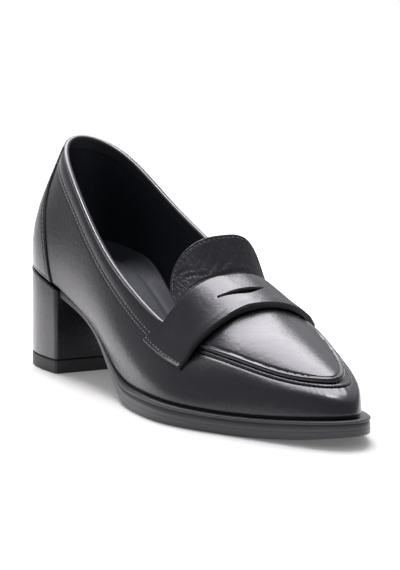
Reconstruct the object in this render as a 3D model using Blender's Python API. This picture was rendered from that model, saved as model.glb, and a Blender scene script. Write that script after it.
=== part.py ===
"""Heeled penny loafer, right shoe, as separate solids at their real size.

Sizes are millimetres in the shoe's own measure: x from the back of the heel towards the toe, y across with
the outer side negative, z up from the floor. Meshes are made in metres, with the origin on the floor under
the middle of the shoe.
"""

from collections import namedtuple

import bmesh
import bpy
import numpy as np

# Driving sizes
MM = 0.001
LAST_BACK = 1.6
LAST_TOE = 241.3
COLLAR_BACK = 14.0
APRON_TIP = 227.5
WALL = 1.8
GAP = 0.3

# Heel
BREAST_X = 44.5
BREAST_SKEW = 0.08
BREAST_CORNER = 2.0
LIFT_HEIGHT = 6.4
HEEL_CHAMFER = 0.6
HEEL_FLUSH = 1.3

# Sole
WAIST_THICK = 3.2
WAIST_FULL_AT = 75.0
WAIST_RELIEF = 0.2
TREAD_BACK = 132.0
TREAD_FRONT = 190.0
TOE_SPRING = 5.0
SPRING_POWER = 2.2
INSOLE_THICK = 2.0
INSOLE_INSET = 3.0

# Apron, with the raised rim along its seam, and the second roll below the seam
APRON_THICK = 1.0
APRON_INSET = 0.8
APRON_TUCK = 4.0
APRON_BLUNT = 2.5
RIM_HEIGHT = 0.6
RIM_AT = 1.2
RIM_WIDTH = 0.7
BEAD_HEIGHT = 0.8
BEAD_FOOT = 0.2
BEAD_WIDTH = 1.6
BEAD_BELOW = 0.5

# Counter, strap with its slot, and tongue: where a size has no unit, 1 is the way from the middle to a seam
COUNTER_THICK = 1.0
STRAP_THICK = 1.7
STRAP_GAP = 0.6
STRAP_LIFT = 1.9
STRAP_REAR = 142.4
STRAP_FRONT = 166.4
STRAP_REAR_BOW = 12.5
STRAP_FRONT_BOW = 6.5
STRAP_STRAIGHT = 0.5
STRAP_SEWN = 7.0
STRAP_END_REAR = 1.35
STRAP_END_FRONT = 1.45
SLOT_AT = 155.8
SLOT_OFF = -0.02
SLOT_HALF_LENGTH = 9.6
SLOT_HALF_WIDTH = 1.8
SLOT_BOW = 1.4
TONGUE_THICK = 2.0
TONGUE_WIDTH = 0.86
TONGUE_SIDE = 0.3
TONGUE_ROUND = 2.8
TONGUE_SHIFT = 4.2
TONGUE_WRAP = 1.2
TONGUE_FLAT = 0.4

# How finely the surfaces are cut
AROUND = 96
WALL_ROWS = 8
THROAT_STEP = 27
VAMP_COLUMNS = 15
SOLE_POINTS = 42
HEEL_POINTS = 33
INSOLE_POINTS = 31
APRON_ROWS = 20
APRON_COLUMNS = 15
APRON_END = np.pi - 0.05
BEAD_ROWS = 44
BEAD_COLUMNS = 5
COUNTER_ROWS = 8
COUNTER_COLUMNS = 19
STRAP_ROWS = 6
STRAP_COLUMNS = 25
STRAP_END_COLUMNS = 4
TONGUE_ROWS = 9
TONGUE_COLUMNS = 19
SEAM_POINTS = 400
PLAN_STEP = 0.01
ON_LINE = 0.01
WELD_DIGITS = 4
SHARP_EDGE = 35.0

# Plan of the last's bottom: half width, and the y of its centre line
Plan = namedtuple("Plan", "x half_width centre")
PLAN = (
    Plan(5, 14.0, -2.0),
    Plan(12, 20.2, -2.7),
    Plan(24, 24.3, -3.4),
    Plan(45, 24.6, -3.9),
    Plan(80, 24.2, -4.5),
    Plan(115, 29.4, -5.9),
    Plan(130, 32.4, -6.3),
    Plan(145, 34.6, -6.5),
    Plan(160, 35.2, -6.2),
    Plan(176, 33.0, -5.0),
    Plan(190, 29.0, -3.6),
    Plan(205, 23.8, -2.4),
    Plan(220, 17.5, -1.5),
    Plan(233, 10.4, -1.0),
)

# Feather line, where upper and sole meet, and how far the sole's edge stands out past it
Feather = namedtuple("Feather", "x height sole_out")
FEATHER = (
    Feather(0, 46.8, 0.0),
    Feather(20, 44.2, 0.0),
    Feather(45, 38.2, -0.8),
    Feather(60, 32.7, -2.0),
    Feather(75, 26.0, -1.4),
    Feather(90, 18.6, 0.0),
    Feather(105, 12.6, 1.0),
    Feather(120, 9.6, 2.1),
    Feather(140, 9.2, 2.3),
    Feather(165, 8.7, 2.3),
    Feather(190, 8.2, 2.3),
    Feather(210, 8.9, 2.4),
    Feather(228, 10.4, 3.2),
    Feather(245, 12.3, 4.3),
)

# Top line: the collar as far as the throat, then the apron's seam as far as its tip
Top = namedtuple("Top", "x half_width centre outer_z inner_z")
TOP = (
    Top(18, 8.2, -0.6, 102.2, 102.2),
    Top(30, 15.4, -0.9, 97.0, 96.4),
    Top(57, 22.3, -1.6, 81.5, 79.6),
    Top(79, 25.0, -2.0, 66.5, 68.2),
    Top(97, 26.2, -2.0, 55.7, 60.2),
    Top(117, 27.0, -1.4, 46.3, 50.8),
    Top(140, 27.2, -0.4, 37.4, 42.0),
    Top(163, 25.6, 0.3, 31.5, 36.4),
    Top(181, 22.9, 0.6, 29.5, 33.2),
    Top(195, 19.5, 0.8, 27.5, 29.9),
    Top(207, 15.4, 1.0, 25.6, 27.2),
    Top(218, 10.1, 1.2, 24.4, 25.2),
)
COLLAR_BACK_Z = 103.8
APRON_TIP_Z = 24.0

# Ridge of the vamp along the foot's middle, and how square the arch across it is
Ridge = namedtuple("Ridge", "x height squareness")
RIDGE = (
    Ridge(130, 59.0, 3.2),
    Ridge(140, 55.3, 3.1),
    Ridge(152, 49.8, 2.8),
    Ridge(164, 44.2, 2.4),
    Ridge(185, 37.4, 2.2),
    Ridge(205, 31.4, 2.2),
    Ridge(218, 27.3, 2.2),
    Ridge(228, 24.0, 2.2),
)

# Lean of the upper's wall in degrees: outwards where it leaves the sole, inwards at its top
Lean = namedtuple("Lean", "x foot_out top_in fullness")
LEAN = (
    Lean(0, 10.0, 24.0, 0.36),
    Lean(45, 10.0, 13.0, 0.36),
    Lean(72, 20.0, 12.0, 0.36),
    Lean(100, 18.0, 14.0, 0.36),
    Lean(146, 5.0, 40.0, 0.38),
    Lean(185, -1.0, 54.0, 0.41),
    Lean(226, -4.0, 62.0, 0.44),
    Lean(245, -7.0, 64.0, 0.45),
)

# Sole's side from its top lip down: share of the thickness, and how far it draws in
Edge = namedtuple("Edge", "share draw_in")
SOLE_EDGE = (
    Edge(0.00, 0.5),
    Edge(0.05, 0.0),
    Edge(0.26, 0.0),
    Edge(0.32, 0.9),
    Edge(0.40, 0.9),
    Edge(0.46, 0.3),
    Edge(0.62, 0.3),
    Edge(0.67, 0.7),
    Edge(0.73, 0.3),
    Edge(0.92, 0.3),
    Edge(1.00, 1.0),
)

# Counter's front edge on the wall: share of the wall's height, and x where it meets the last's plan
Counter = namedtuple("Counter", "share x")
COUNTER = (
    Counter(0.02, 39.5),
    Counter(0.26, 33.8),
    Counter(0.42, 27.0),
    Counter(0.58, 18.0),
    Counter(0.74, 11.0),
    Counter(0.96, 8.5),
)

# Spine of the tongue past the throat, a bend and its tip: way back from the throat, and rise
Spine = namedtuple("Spine", "back rise")
TONGUE_SPINE = (
    Spine(3.6, 4.2),
    Spine(9.5, 17.4),
)


# Curves through the tables


def spline(xs, ys):
    """Natural cubic through the points, as a function of x."""
    xs = np.asarray(xs, float)
    ys = np.asarray(ys, float)
    step = np.diff(xs)
    slope = np.diff(ys) / step
    count = len(xs)
    system = np.zeros((count, count))
    system[0, 0] = 1.0
    system[-1, -1] = 1.0
    change = np.zeros(count)
    for i in range(1, count - 1):
        system[i, i - 1 : i + 2] = step[i - 1], 2 * (step[i - 1] + step[i]), step[i]
        change[i] = 6 * (slope[i] - slope[i - 1])
    bend = np.linalg.solve(system, change)

    def value(at):
        at = np.asarray(at, float)
        k = np.clip(np.searchsorted(xs, at) - 1, 0, count - 2)
        b = (at - xs[k]) / step[k]
        a = 1.0 - b
        cubic = (a**3 - a) * bend[k] + (b**3 - b) * bend[k + 1]
        return a * ys[k] + b * ys[k + 1] + cubic * step[k] ** 2 / 6

    return value


def along(rows, name, key="x"):
    """Spline of one named column of a table against its key column."""
    return spline([getattr(row, key) for row in rows], [getattr(row, name) for row in rows])


def turn_at(x, back, front):
    """Angle round the shoe, 0 at the heel's back and pi at the toe, where x lies between back and front."""
    return np.arccos(np.clip(1 - 2 * (np.asarray(x, float) - back) / (front - back), -1, 1))


def x_at(turn, back, front):
    return back + (front - back) * (1 - np.cos(turn)) / 2


def half_widths(rows, back, front):
    """Half width against the angle round the shoe, closing to nothing at both ends."""
    turns = turn_at([row.x for row in rows], back, front)
    return spline(np.r_[0, turns, np.pi], np.r_[0, [row.half_width for row in rows], 0])


def folded(turn):
    """The angle on the outer half that has the same x."""
    turn = np.mod(turn, 2 * np.pi)
    return np.where(turn > np.pi, 2 * np.pi - turn, turn)


def side(turn):
    """-1 on the outer side, +1 on the inner side."""
    return np.where(np.mod(turn, 2 * np.pi) > np.pi, 1.0, -1.0)


plan_half = half_widths(PLAN, LAST_BACK, LAST_TOE)
plan_centre = along(PLAN, "centre")
feather_height = along(FEATHER, "height")
sole_out = along(FEATHER, "sole_out")
top_half = half_widths(TOP, COLLAR_BACK, APRON_TIP)
top_centre = along(TOP, "centre")
TOP_X = [COLLAR_BACK] + [row.x for row in TOP] + [APRON_TIP]
top_outer = spline(TOP_X, [COLLAR_BACK_Z] + [row.outer_z for row in TOP] + [APRON_TIP_Z])
top_inner = spline(TOP_X, [COLLAR_BACK_Z] + [row.inner_z for row in TOP] + [APRON_TIP_Z])
ridge_height = along(RIDGE, "height")
ridge_squareness = along(RIDGE, "squareness")
lean_foot = along(LEAN, "foot_out")
lean_top = along(LEAN, "top_in")
lean_fullness = along(LEAN, "fullness")


# The last's surface


def plan_point(turn):
    """Point of the last's bottom edge, seen from above."""
    x = x_at(turn, LAST_BACK, LAST_TOE)
    return np.stack([x, plan_centre(x) + side(turn) * plan_half(folded(turn))], axis=-1)


def plan_outward(turn):
    """Unit direction straight out of the last's bottom edge, seen from above."""
    run = plan_point(turn + PLAN_STEP) - plan_point(turn - PLAN_STEP)
    out = np.stack([run[..., 1], -run[..., 0]], axis=-1)
    return out / np.linalg.norm(out, axis=-1, keepdims=True)


def plan_offset(turn, distance):
    """Plan of the last's bottom, moved out by a distance."""
    return plan_point(turn) + plan_outward(turn) * np.asarray(distance)[..., None]


def raised(plan, height):
    """Plan points given their height."""
    return np.concatenate([plan, np.broadcast_to(height, plan.shape[:-1])[..., None]], axis=-1)


def top_point(turn):
    """Point of the collar or of the apron's seam."""
    x = x_at(turn, COLLAR_BACK, APRON_TIP)
    y = top_centre(x) + side(turn) * top_half(folded(turn))
    z = np.where(side(turn) < 0, top_outer(x), top_inner(x))
    return np.stack([x, y, z], axis=-1)


def wall_point(turn, share):
    """Point of the upper's outside: share 0 at the feather line, 1 at the top line."""
    turn, share = np.broadcast_arrays(np.asarray(turn, float), np.asarray(share, float))
    plan = plan_point(turn)
    foot = raised(plan, feather_height(plan[..., 0]))
    top = top_point(turn)
    out = raised(plan_outward(turn), 0.0)
    up = np.array([0.0, 0.0, 1.0])
    foot_lean = np.radians(lean_foot(plan[..., 0]))[..., None]
    top_lean = np.radians(lean_top(plan[..., 0]))[..., None]
    handle = lean_fullness(plan[..., 0])[..., None] * np.linalg.norm(top - foot, axis=-1, keepdims=True)
    low = foot + handle * (up * np.cos(foot_lean) + out * np.sin(foot_lean))
    high = top - handle * (up * np.cos(top_lean) - out * np.sin(top_lean))
    t = share[..., None]
    return (1 - t) ** 3 * foot + 3 * (1 - t) ** 2 * t * low + 3 * (1 - t) * t**2 * high + t**3 * top


def vamp_point(turn, across):
    """Point of the vamp's top between its two seams: across is -1 at the outer seam, +1 at the inner one."""
    turn, across = np.broadcast_arrays(np.asarray(turn, float), np.asarray(across, float))
    outer = top_point(turn)
    inner = top_point(2 * np.pi - turn)
    x = outer[..., 0]
    crown = ridge_height(x) - (outer[..., 2] + inner[..., 2]) / 2
    arch = crown * (1 - np.abs(across) ** ridge_squareness(x))
    point = (outer + inner) / 2 + (inner - outer) / 2 * across[..., None]
    point[..., 2] += arch
    return point


def over_point(x, reach):
    """Point of the upper under the strap: reach 1 is a seam, and beyond it the strap runs down the wall."""
    x, reach = np.broadcast_arrays(np.asarray(x, float), np.asarray(reach, float))
    turn = turn_at(x, COLLAR_BACK, APRON_TIP)
    down = np.clip(1 - (np.abs(reach) - 1), 0, 1)
    wall = wall_point(np.where(reach < 0, turn, 2 * np.pi - turn), down)
    vamp = vamp_point(turn, np.clip(reach, -1, 1))
    return np.where((np.abs(reach) > 1)[..., None], wall, vamp)


# Meshes


def grid_faces(rows, columns, wrap=False, flip=False, start=0):
    """Quads of a grid of points, row by row, closed on itself along the columns where it wraps."""
    faces = []
    for i in range(rows - 1):
        for j in range(columns if wrap else columns - 1):
            k = (j + 1) % columns
            low = start + i * columns
            high = low + columns
            face = (low + j, low + k, high + k, high + j)
            faces.append(face[::-1] if flip else face)
    return faces


def welded(points, faces):
    """The same surface with points that coincide made one, and collapsed faces dropped."""
    _, first, index = np.unique(np.round(points, WELD_DIGITS), axis=0, return_index=True, return_inverse=True)
    index = index.reshape(-1)
    kept = []
    for face in faces:
        corners = []
        for k in face:
            if index[k] not in corners:
                corners.append(int(index[k]))
        if len(corners) > 2:
            kept.append(tuple(corners))
    return points[first], kept


def vertex_normals(points, faces):
    """Unit normals of a surface at its points, weighted by area."""
    total = np.zeros_like(points)
    for face in faces:
        for i in range(1, len(face) - 1):
            a, b, c = (points[face[k]] for k in (0, i, i + 1))
            normal = np.cross(b - a, c - a)
            for k in (face[0], face[i], face[i + 1]):
                total[k] += normal
    return total / np.linalg.norm(total, axis=1, keepdims=True)


def border_edges(faces):
    """Edges that belong to one face only, in that face's direction."""
    edges = {}
    for face in faces:
        for a, b in zip(face, face[1:] + face[:1]):
            if (b, a) in edges:
                del edges[(b, a)]
            else:
                edges[(a, b)] = True
    return list(edges)


def closed(low, high, faces):
    """Closed solid between two copies of a surface that have the same faces."""
    count = len(high)
    sides = [(b, a, a + count, b + count) for a, b in border_edges(faces)]
    under = [tuple(k + count for k in reversed(face)) for face in faces]
    return np.concatenate([high, low]), list(faces) + under + sides


def overlay(points, faces, low, high):
    """Solid that follows a surface, from one height above it to another."""
    points, faces = welded(points, faces)
    normals = vertex_normals(points, faces)
    low = low(points) if callable(low) else np.full(len(points), low)
    high = high(points) if callable(high) else np.full(len(points), high)
    return closed(points + normals * low[:, None], points + normals * high[:, None], faces)


def plate(plans, heights):
    """Solid with an outline that runs up one side and down the other, from stacked rings of that outline."""
    rings = [raised(plan, height) for plan, height in zip(plans, heights)]
    count = len(rings[0])
    faces = grid_faces(len(rings), count, wrap=True)
    for ring, flip in ((0, False), (len(rings) - 1, True)):
        base = ring * count
        for i in range((count - 1) // 2):
            face = (base + i, base + i + 1, base + count - 2 - i, base + count - 1 - i)
            faces.append(tuple(reversed(face)) if flip else face)
    return np.concatenate(rings), faces


def leather(name, colour, roughness):
    """Material of one piece, by its colour and roughness."""
    material = bpy.data.materials.new(name)
    material.use_nodes = True
    shader = material.node_tree.nodes["Principled BSDF"]
    shader.inputs["Base Color"].default_value = (*colour, 1.0)
    shader.inputs["Roughness"].default_value = roughness
    shader.inputs["Metallic"].default_value = 0.0
    return material


def add_piece(name, solid, shift, material):
    """Object of one piece, with its faces turned outwards and its mesh in metres."""
    points, faces = welded(*solid)
    mesh = bpy.data.meshes.new(name)
    mesh.from_pydata(((points - shift) * MM).tolist(), [], faces)
    body = bmesh.new()
    body.from_mesh(mesh)
    bmesh.ops.triangulate(body, faces=body.faces[:])
    bmesh.ops.recalc_face_normals(body, faces=body.faces[:])
    body.to_mesh(mesh)
    body.free()
    mesh.shade_smooth()
    mesh.set_sharp_from_angle(angle=np.radians(SHARP_EDGE))
    mesh.materials.append(material)
    piece = bpy.data.objects.new(name, mesh)
    bpy.context.scene.collection.objects.link(piece)


# Pieces


def full_turns():
    """Angles of the upper's columns round the shoe."""
    return np.arange(AROUND) * 2 * np.pi / AROUND


def spread_across(count):
    """Places across the vamp from -1 to 1, closer together towards the seams."""
    return np.sin(np.linspace(-np.pi / 2, np.pi / 2, count))


def smooth(share):
    """Soft step from 0 to 1."""
    share = np.clip(share, 0, 1)
    return share * share * (3 - 2 * share)


def upper():
    """One hollow wall: quarters and vamp round the foot, and the vamp's top as far back as the throat."""
    turns = full_turns()
    shares = np.linspace(0, 1, WALL_ROWS)
    wall = wall_point(turns[None, :], shares[:, None])
    vamp_turns = turns[THROAT_STEP : AROUND // 2 + 1]
    across = spread_across(VAMP_COLUMNS)
    vamp = vamp_point(vamp_turns[:, None], across[None, :])
    points = np.concatenate([wall.reshape(-1, 3), vamp.reshape(-1, 3)])
    faces = grid_faces(WALL_ROWS, AROUND, wrap=True)
    faces += grid_faces(len(vamp_turns), VAMP_COLUMNS, flip=True, start=AROUND * WALL_ROWS)
    points, faces = welded(points, faces)
    normals = vertex_normals(points, faces)
    inside = points - normals * WALL
    feather = np.abs(points[:, 2] - feather_height(points[:, 0])) < ON_LINE
    inside[feather, 2] = points[feather, 2]
    return closed(inside, points, faces)


def outsole():
    """Forefoot slab with lip and ribs, thin waist, toe spring, ending at the heel's breast."""
    heel = heel_outline()
    outer = np.linspace(turn_at(heel[0, 0] + GAP, LAST_BACK, LAST_TOE), np.pi, SOLE_POINTS)
    inner = np.linspace(turn_at(heel[-1, 0] + GAP, LAST_BACK, LAST_TOE), np.pi, SOLE_POINTS)
    turns = np.r_[outer, 2 * np.pi - inner[-2::-1]]
    x = plan_point(turns)[:, 0]
    top = feather_height(x) - GAP
    thick = top - sole_bottom(x)
    relief = np.clip((thick - WAIST_THICK) / (tread_thick() - WAIST_THICK), WAIST_RELIEF, 1)
    plans = [plan_offset(turns, sole_out(x) - row.draw_in * relief) for row in SOLE_EDGE]
    heights = [top - row.share * thick for row in SOLE_EDGE]
    return plate(plans, heights)


def tread_thick():
    return feather_height(TREAD_BACK) - GAP


def sole_bottom(x):
    """Underside of the sole: level tread, toe spring ahead of it, and the waist rising behind it."""
    ahead = np.clip(x - TREAD_FRONT, 0, None) / (LAST_TOE - TREAD_FRONT)
    thinned = smooth((TREAD_BACK - x) / (TREAD_BACK - WAIST_FULL_AT))
    thick = tread_thick() + (WAIST_THICK - tread_thick()) * thinned
    waist = np.maximum(0, feather_height(x) - GAP - thick)
    return np.where(x < TREAD_BACK, waist, TOE_SPRING * ahead**SPRING_POWER)


def heel_outline():
    """Plan of the heel: round at the back, square at the breast, which is skewed with the heel's own axis."""
    first = turn_at(BREAST_X - BREAST_CORNER, LAST_BACK, LAST_TOE)
    curve = plan_offset(np.linspace(first, -first, HEEL_POINTS), np.full(HEEL_POINTS, HEEL_FLUSH))
    outer_y = curve[0, 1]
    inner_y = curve[-1, 1]
    skew = BREAST_SKEW * (inner_y - outer_y)
    return np.concatenate([[[BREAST_X, outer_y]], curve, [[BREAST_X + skew, inner_y]]])


def heel_solid(bottom, top):
    """Upright block on the heel's outline, chamfered at its foot, between two heights that may vary with x."""
    outline = heel_outline()
    inwards = outline.mean(axis=0) - outline
    drawn_in = outline + inwards / np.linalg.norm(inwards, axis=1)[:, None] * HEEL_CHAMFER
    return plate([outline, outline, drawn_in], [top(outline[:, 0]), bottom + HEEL_CHAMFER, bottom])


def insole():
    """Sock of the shoe: a bent sheet inside the wall, on the sole and the heel's seat."""
    outer = np.linspace(0, np.pi, INSOLE_POINTS + 2)[1:-1]
    turns = np.r_[outer, 2 * np.pi - outer[::-1]]
    plan = plan_offset(turns, np.full(len(turns), -INSOLE_INSET))
    height = feather_height(plan_point(turns)[:, 0])
    return plate([plan, plan], [height + INSOLE_THICK, height])


def seam_distance(points):
    """Distance from each point to the apron's seam."""
    throat = turn_at(STRAP_REAR, COLLAR_BACK, APRON_TIP)
    seam = top_point(np.linspace(throat, 2 * np.pi - throat, SEAM_POINTS))
    return np.sqrt(((points[:, None, :] - seam[None, :, :]) ** 2).sum(axis=2)).min(axis=1)


def apron():
    """Vamp's inset panel, with its rim raised along the seam, running back under the strap."""
    back = turn_at(STRAP_FRONT - APRON_TUCK, COLLAR_BACK, APRON_TIP)
    turns = np.linspace(back, APRON_END, APRON_ROWS)[:, None]
    inset = APRON_INSET / np.maximum(top_half(turns), APRON_BLUNT)
    points = vamp_point(turns, spread_across(APRON_COLUMNS)[None, :] * (1 - inset))
    rim = lambda p: RIM_HEIGHT * np.exp(-(((seam_distance(p) - RIM_AT) / RIM_WIDTH) ** 2))
    faces = grid_faces(APRON_ROWS, APRON_COLUMNS, flip=True)
    return overlay(points.reshape(-1, 3), faces, GAP, lambda p: GAP + APRON_THICK + rim(p))


def seam_bead():
    """Second raised roll of the seam, on the wall just below the apron."""
    start = turn_at(strap_edges(1.0)[1] + BEAD_FOOT, COLLAR_BACK, APRON_TIP)
    turns = np.linspace(start, 2 * np.pi - start, BEAD_ROWS)
    height = np.linalg.norm(wall_point(turns, 1.0) - wall_point(turns, 0.0), axis=-1)
    below = np.linspace(BEAD_WIDTH, 0, BEAD_COLUMNS) + BEAD_BELOW
    points = wall_point(turns[:, None], 1 - below[None, :] / height[:, None]).reshape(-1, 3)
    middle = BEAD_BELOW + BEAD_WIDTH / 2
    roll = lambda p: BEAD_HEIGHT * np.clip(1 - ((seam_distance(p) - middle) * 2 / BEAD_WIDTH) ** 2, 0, 1)
    faces = grid_faces(BEAD_ROWS, BEAD_COLUMNS, flip=True)
    return overlay(points, faces, GAP, lambda p: GAP + BEAD_FOOT + roll(p))


def counter():
    """Panel round the back of the heel, from the feather line to just under the collar."""
    edge = along(COUNTER, "x", key="share")
    shares = np.linspace(COUNTER[0].share, COUNTER[-1].share, COUNTER_ROWS)
    sweep = np.linspace(-1, 1, COUNTER_COLUMNS)
    turns = turn_at(edge(shares), LAST_BACK, LAST_TOE)[:, None] * sweep[None, :]
    points = wall_point(turns, shares[:, None]).reshape(-1, 3)
    return overlay(points, grid_faces(COUNTER_ROWS, COUNTER_COLUMNS), GAP, GAP + COUNTER_THICK)


def strap_edges(reach):
    """x of the strap's rear and front edge, which bow back down the sides."""
    bow = np.clip(np.abs(reach) - STRAP_STRAIGHT, 0, None) ** 2
    return STRAP_REAR - STRAP_REAR_BOW * bow, STRAP_FRONT - STRAP_FRONT_BOW * bow


def strap():
    """Saddle strap over the vamp, sewn down at both ends, with its eye-shaped slot."""
    past = np.linspace(0, 1, STRAP_END_COLUMNS + 1)[1:]
    columns = np.r_[-1 - past[::-1], np.linspace(-1, 1, STRAP_COLUMNS), 1 + past]
    over = np.clip(columns, -1, 1)
    past = columns - over
    rear, front = strap_edges(over + past * (STRAP_END_REAR - 1))
    half_length = SLOT_HALF_LENGTH / top_half(turn_at(SLOT_AT, COLLAR_BACK, APRON_TIP))
    off_middle = np.clip(((over - SLOT_OFF) / half_length) ** 2, 0, 1)
    slot = SLOT_AT - SLOT_BOW * off_middle - (STRAP_REAR - rear)
    eye = SLOT_HALF_WIDTH * (1 - off_middle)
    points = []
    faces = []
    for start, end in ((rear, slot - eye), (slot + eye, front)):
        x = start + (end - start) * np.linspace(0, 1, STRAP_ROWS)[:, None]
        forward = (x - rear) / (STRAP_FRONT - STRAP_REAR)
        end_reach = STRAP_END_REAR + (STRAP_END_FRONT - STRAP_END_REAR) * forward
        faces += grid_faces(STRAP_ROWS, len(columns), flip=True, start=len(points))
        points.extend(over_point(x, over + past * (end_reach - 1)).reshape(-1, 3))
    lift = lambda p: STRAP_GAP + STRAP_LIFT * strap_lift(p)
    return overlay(np.array(points), faces, lift, lambda p: lift(p) + STRAP_THICK)


def strap_lift(points):
    """How far the strap stands off the vamp: fully along its front edge, not at its sewn ends or its rear."""
    x, y, z = points.T
    forward = np.clip((x - STRAP_REAR) / (STRAP_FRONT - APRON_TUCK - STRAP_REAR), 0, 1)
    seam_z = np.where(y < top_centre(x), top_outer(x), top_inner(x))
    return forward * smooth((z - seam_z + STRAP_SEWN) / STRAP_SEWN)


def tongue():
    """Rounded tab that stands up behind the strap, arched like the throat it grows from."""
    throat = full_turns()[THROAT_STEP]
    across = spread_across(TONGUE_COLUMNS)
    section = vamp_point(throat, across * TONGUE_WIDTH)
    crown = vamp_point(throat, 0.0)
    drop = crown[2] - section[:, 2]
    height = TONGUE_SIDE + (1 - TONGUE_SIDE) * np.sqrt(1 - np.abs(across) ** TONGUE_ROUND)
    share = np.linspace(0, 1, TONGUE_ROWS)[:, None] * height
    bend, tip = TONGUE_SPINE
    back = 2 * (1 - share) * share * bend.back + share**2 * tip.back
    rise = 2 * (1 - share) * share * bend.rise + share**2 * tip.rise
    x = crown[0] - GAP - back - drop * TONGUE_WRAP * share
    y = section[:, 1] + TONGUE_SHIFT * share
    z = crown[2] + rise - drop * (1 - TONGUE_FLAT * share)
    points = np.stack([x, y, z], axis=-1).reshape(-1, 3)
    return overlay(points, grid_faces(TONGUE_ROWS, TONGUE_COLUMNS), -TONGUE_THICK, 0.0)


def build():
    """Every piece, on the floor with the origin under the middle of the shoe."""
    for old in list(bpy.data.objects):
        bpy.data.objects.remove(old)
    seat = lambda x: feather_height(x) - GAP
    lift_top = lambda x: np.full(len(x), LIFT_HEIGHT - GAP)
    solids = {
        "outsole": outsole(),
        "heel_block": heel_solid(LIFT_HEIGHT, seat),
        "top_lift": heel_solid(0.0, lift_top),
        "insole": insole(),
        "upper": upper(),
        "apron": apron(),
        "seam_bead": seam_bead(),
        "counter": counter(),
        "strap": strap(),
        "tongue": tongue(),
    }
    every = np.concatenate([points for points, _ in solids.values()])
    low, high = every.min(axis=0), every.max(axis=0)
    shift = np.array([(low[0] + high[0]) / 2, (low[1] + high[1]) / 2, 0.0])
    looks = {
        "outsole": ((0.020, 0.020, 0.022), 0.45),
        "heel_block": ((0.022, 0.022, 0.024), 0.40),
        "top_lift": ((0.018, 0.018, 0.019), 0.60),
        "insole": ((0.020, 0.022, 0.028), 0.50),
    }
    for name, solid in solids.items():
        colour, roughness = looks.get(name, ((0.016, 0.016, 0.018), 0.35))
        add_piece(name, solid, shift, leather(name + "_leather", colour, roughness))


build()
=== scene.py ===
"""Finish of the heeled penny loafer: leather pieces, stitches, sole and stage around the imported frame.

Laid out as an add-on and run as a script. Tables and shape functions are in millimetres in the shoe's own
measure: x from the back of the heel towards the toe, y across with the outer side negative, z up from the
floor. Meshes are made in metres in the frame's measure.
"""

import math
from collections import namedtuple

import bpy
import numpy as np
from bpy.props import FloatProperty, FloatVectorProperty, PointerProperty
from bpy.types import Operator, Panel, PropertyGroup
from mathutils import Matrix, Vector, kdtree, noise


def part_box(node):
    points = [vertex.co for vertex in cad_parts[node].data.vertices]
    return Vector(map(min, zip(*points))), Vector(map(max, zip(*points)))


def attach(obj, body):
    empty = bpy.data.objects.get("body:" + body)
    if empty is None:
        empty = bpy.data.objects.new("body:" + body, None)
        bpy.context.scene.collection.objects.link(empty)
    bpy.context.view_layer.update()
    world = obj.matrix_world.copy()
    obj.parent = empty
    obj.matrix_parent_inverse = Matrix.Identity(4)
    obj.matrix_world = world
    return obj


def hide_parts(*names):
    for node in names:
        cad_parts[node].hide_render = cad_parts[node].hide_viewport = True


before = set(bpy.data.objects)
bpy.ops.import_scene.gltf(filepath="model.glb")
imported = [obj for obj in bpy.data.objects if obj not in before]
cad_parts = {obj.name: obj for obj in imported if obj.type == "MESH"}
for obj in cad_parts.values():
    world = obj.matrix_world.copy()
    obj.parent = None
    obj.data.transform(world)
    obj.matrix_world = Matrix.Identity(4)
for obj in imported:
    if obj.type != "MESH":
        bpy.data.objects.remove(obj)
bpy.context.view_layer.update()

bl_info = {
    "name": "Heeled penny loafer",
    "version": (1, 0, 0),
    "blender": (4, 5, 0),
    "location": "3D View > Sidebar > Loafer",
    "description": "Dresses the packed loafer in leather, stitches and sole, and sets its stage",
    "category": "Object",
}

MM = 0.001

# Driving sizes of the last and of the upper's wall
LAST_BACK = 1.6
LAST_TOE = 241.3
COLLAR_BACK = 14.0
COLLAR_BACK_Z = 103.8
APRON_TIP = 227.5
APRON_TIP_Z = 24.0
THROAT_TURN = 2 * math.pi * 27 / 96
WALL = 1.8
WALL_ROLL = 0.45
COLLAR_FADE = 0.06
BINDING_DEPTH = 6.8
BINDING_THICK = 0.3
TUCK_DEPTH = 0.6
TUCK_WIDTH = 0.8

# Heel and sole
BREAST_X = 44.5
BREAST_SKEW = 0.08
BREAST_CORNER = 2.0
BREAST_EASE = 0.06
HEEL_FLUSH = 1.3
LIFT_HEIGHT = 6.4
SEAM_GAP = 0.3
WAIST_THICK = 3.2
WAIST_FULL_AT = 75.0
WAIST_RELIEF = 0.2
TREAD_BACK = 132.0
TREAD_FRONT = 190.0
TOE_SPRING = 5.0
SPRING_POWER = 2.2
# Span of the sole's groove, in shares of its thickness: its faces carry painted shade
GROOVE_TOP = 0.16
GROOVE_BOTTOM = 0.27
INSOLE_THICK = 2.0
INSOLE_INSET = 2.4
SOCK_FRONT = 0.9
SOCK_PAD = 4.5
SOCK_PAD_AT = 58.0
SOCK_PAD_WIDTH = 22.0
SOCK_CURL = 0.9
SOCK_CUP = 5.0
SOCK_CUP_END = 75.0
SOCK_CUP_RUN = 37.5
SOCK_CUP_POWER = 6

# Apron and its seam
APRON_THICK = 1.3
APRON_OVERHANG = 0.9
APRON_INSET = 0.8
APRON_BLUNT = 2.5
APRON_BACK = 162.4
APRON_TIP_SHORT = 0.03
BEAD_HEIGHT = 0.3
BEAD_WIDTH = 1.6
BEAD_BELOW = 1.0
BEAD_FOOT = 0.05
BEAD_TUCK = 1.0
GATHER_DEPTH = 0.06
GATHER_POINTS = 5
PUCKER_PITCH = 2.2
PUCKER_DEPTH = 0.07
PUCKER_AT = 4.8
PUCKER_WIDTH = 2.8
PUCKER_SPREAD = 0.5

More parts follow.
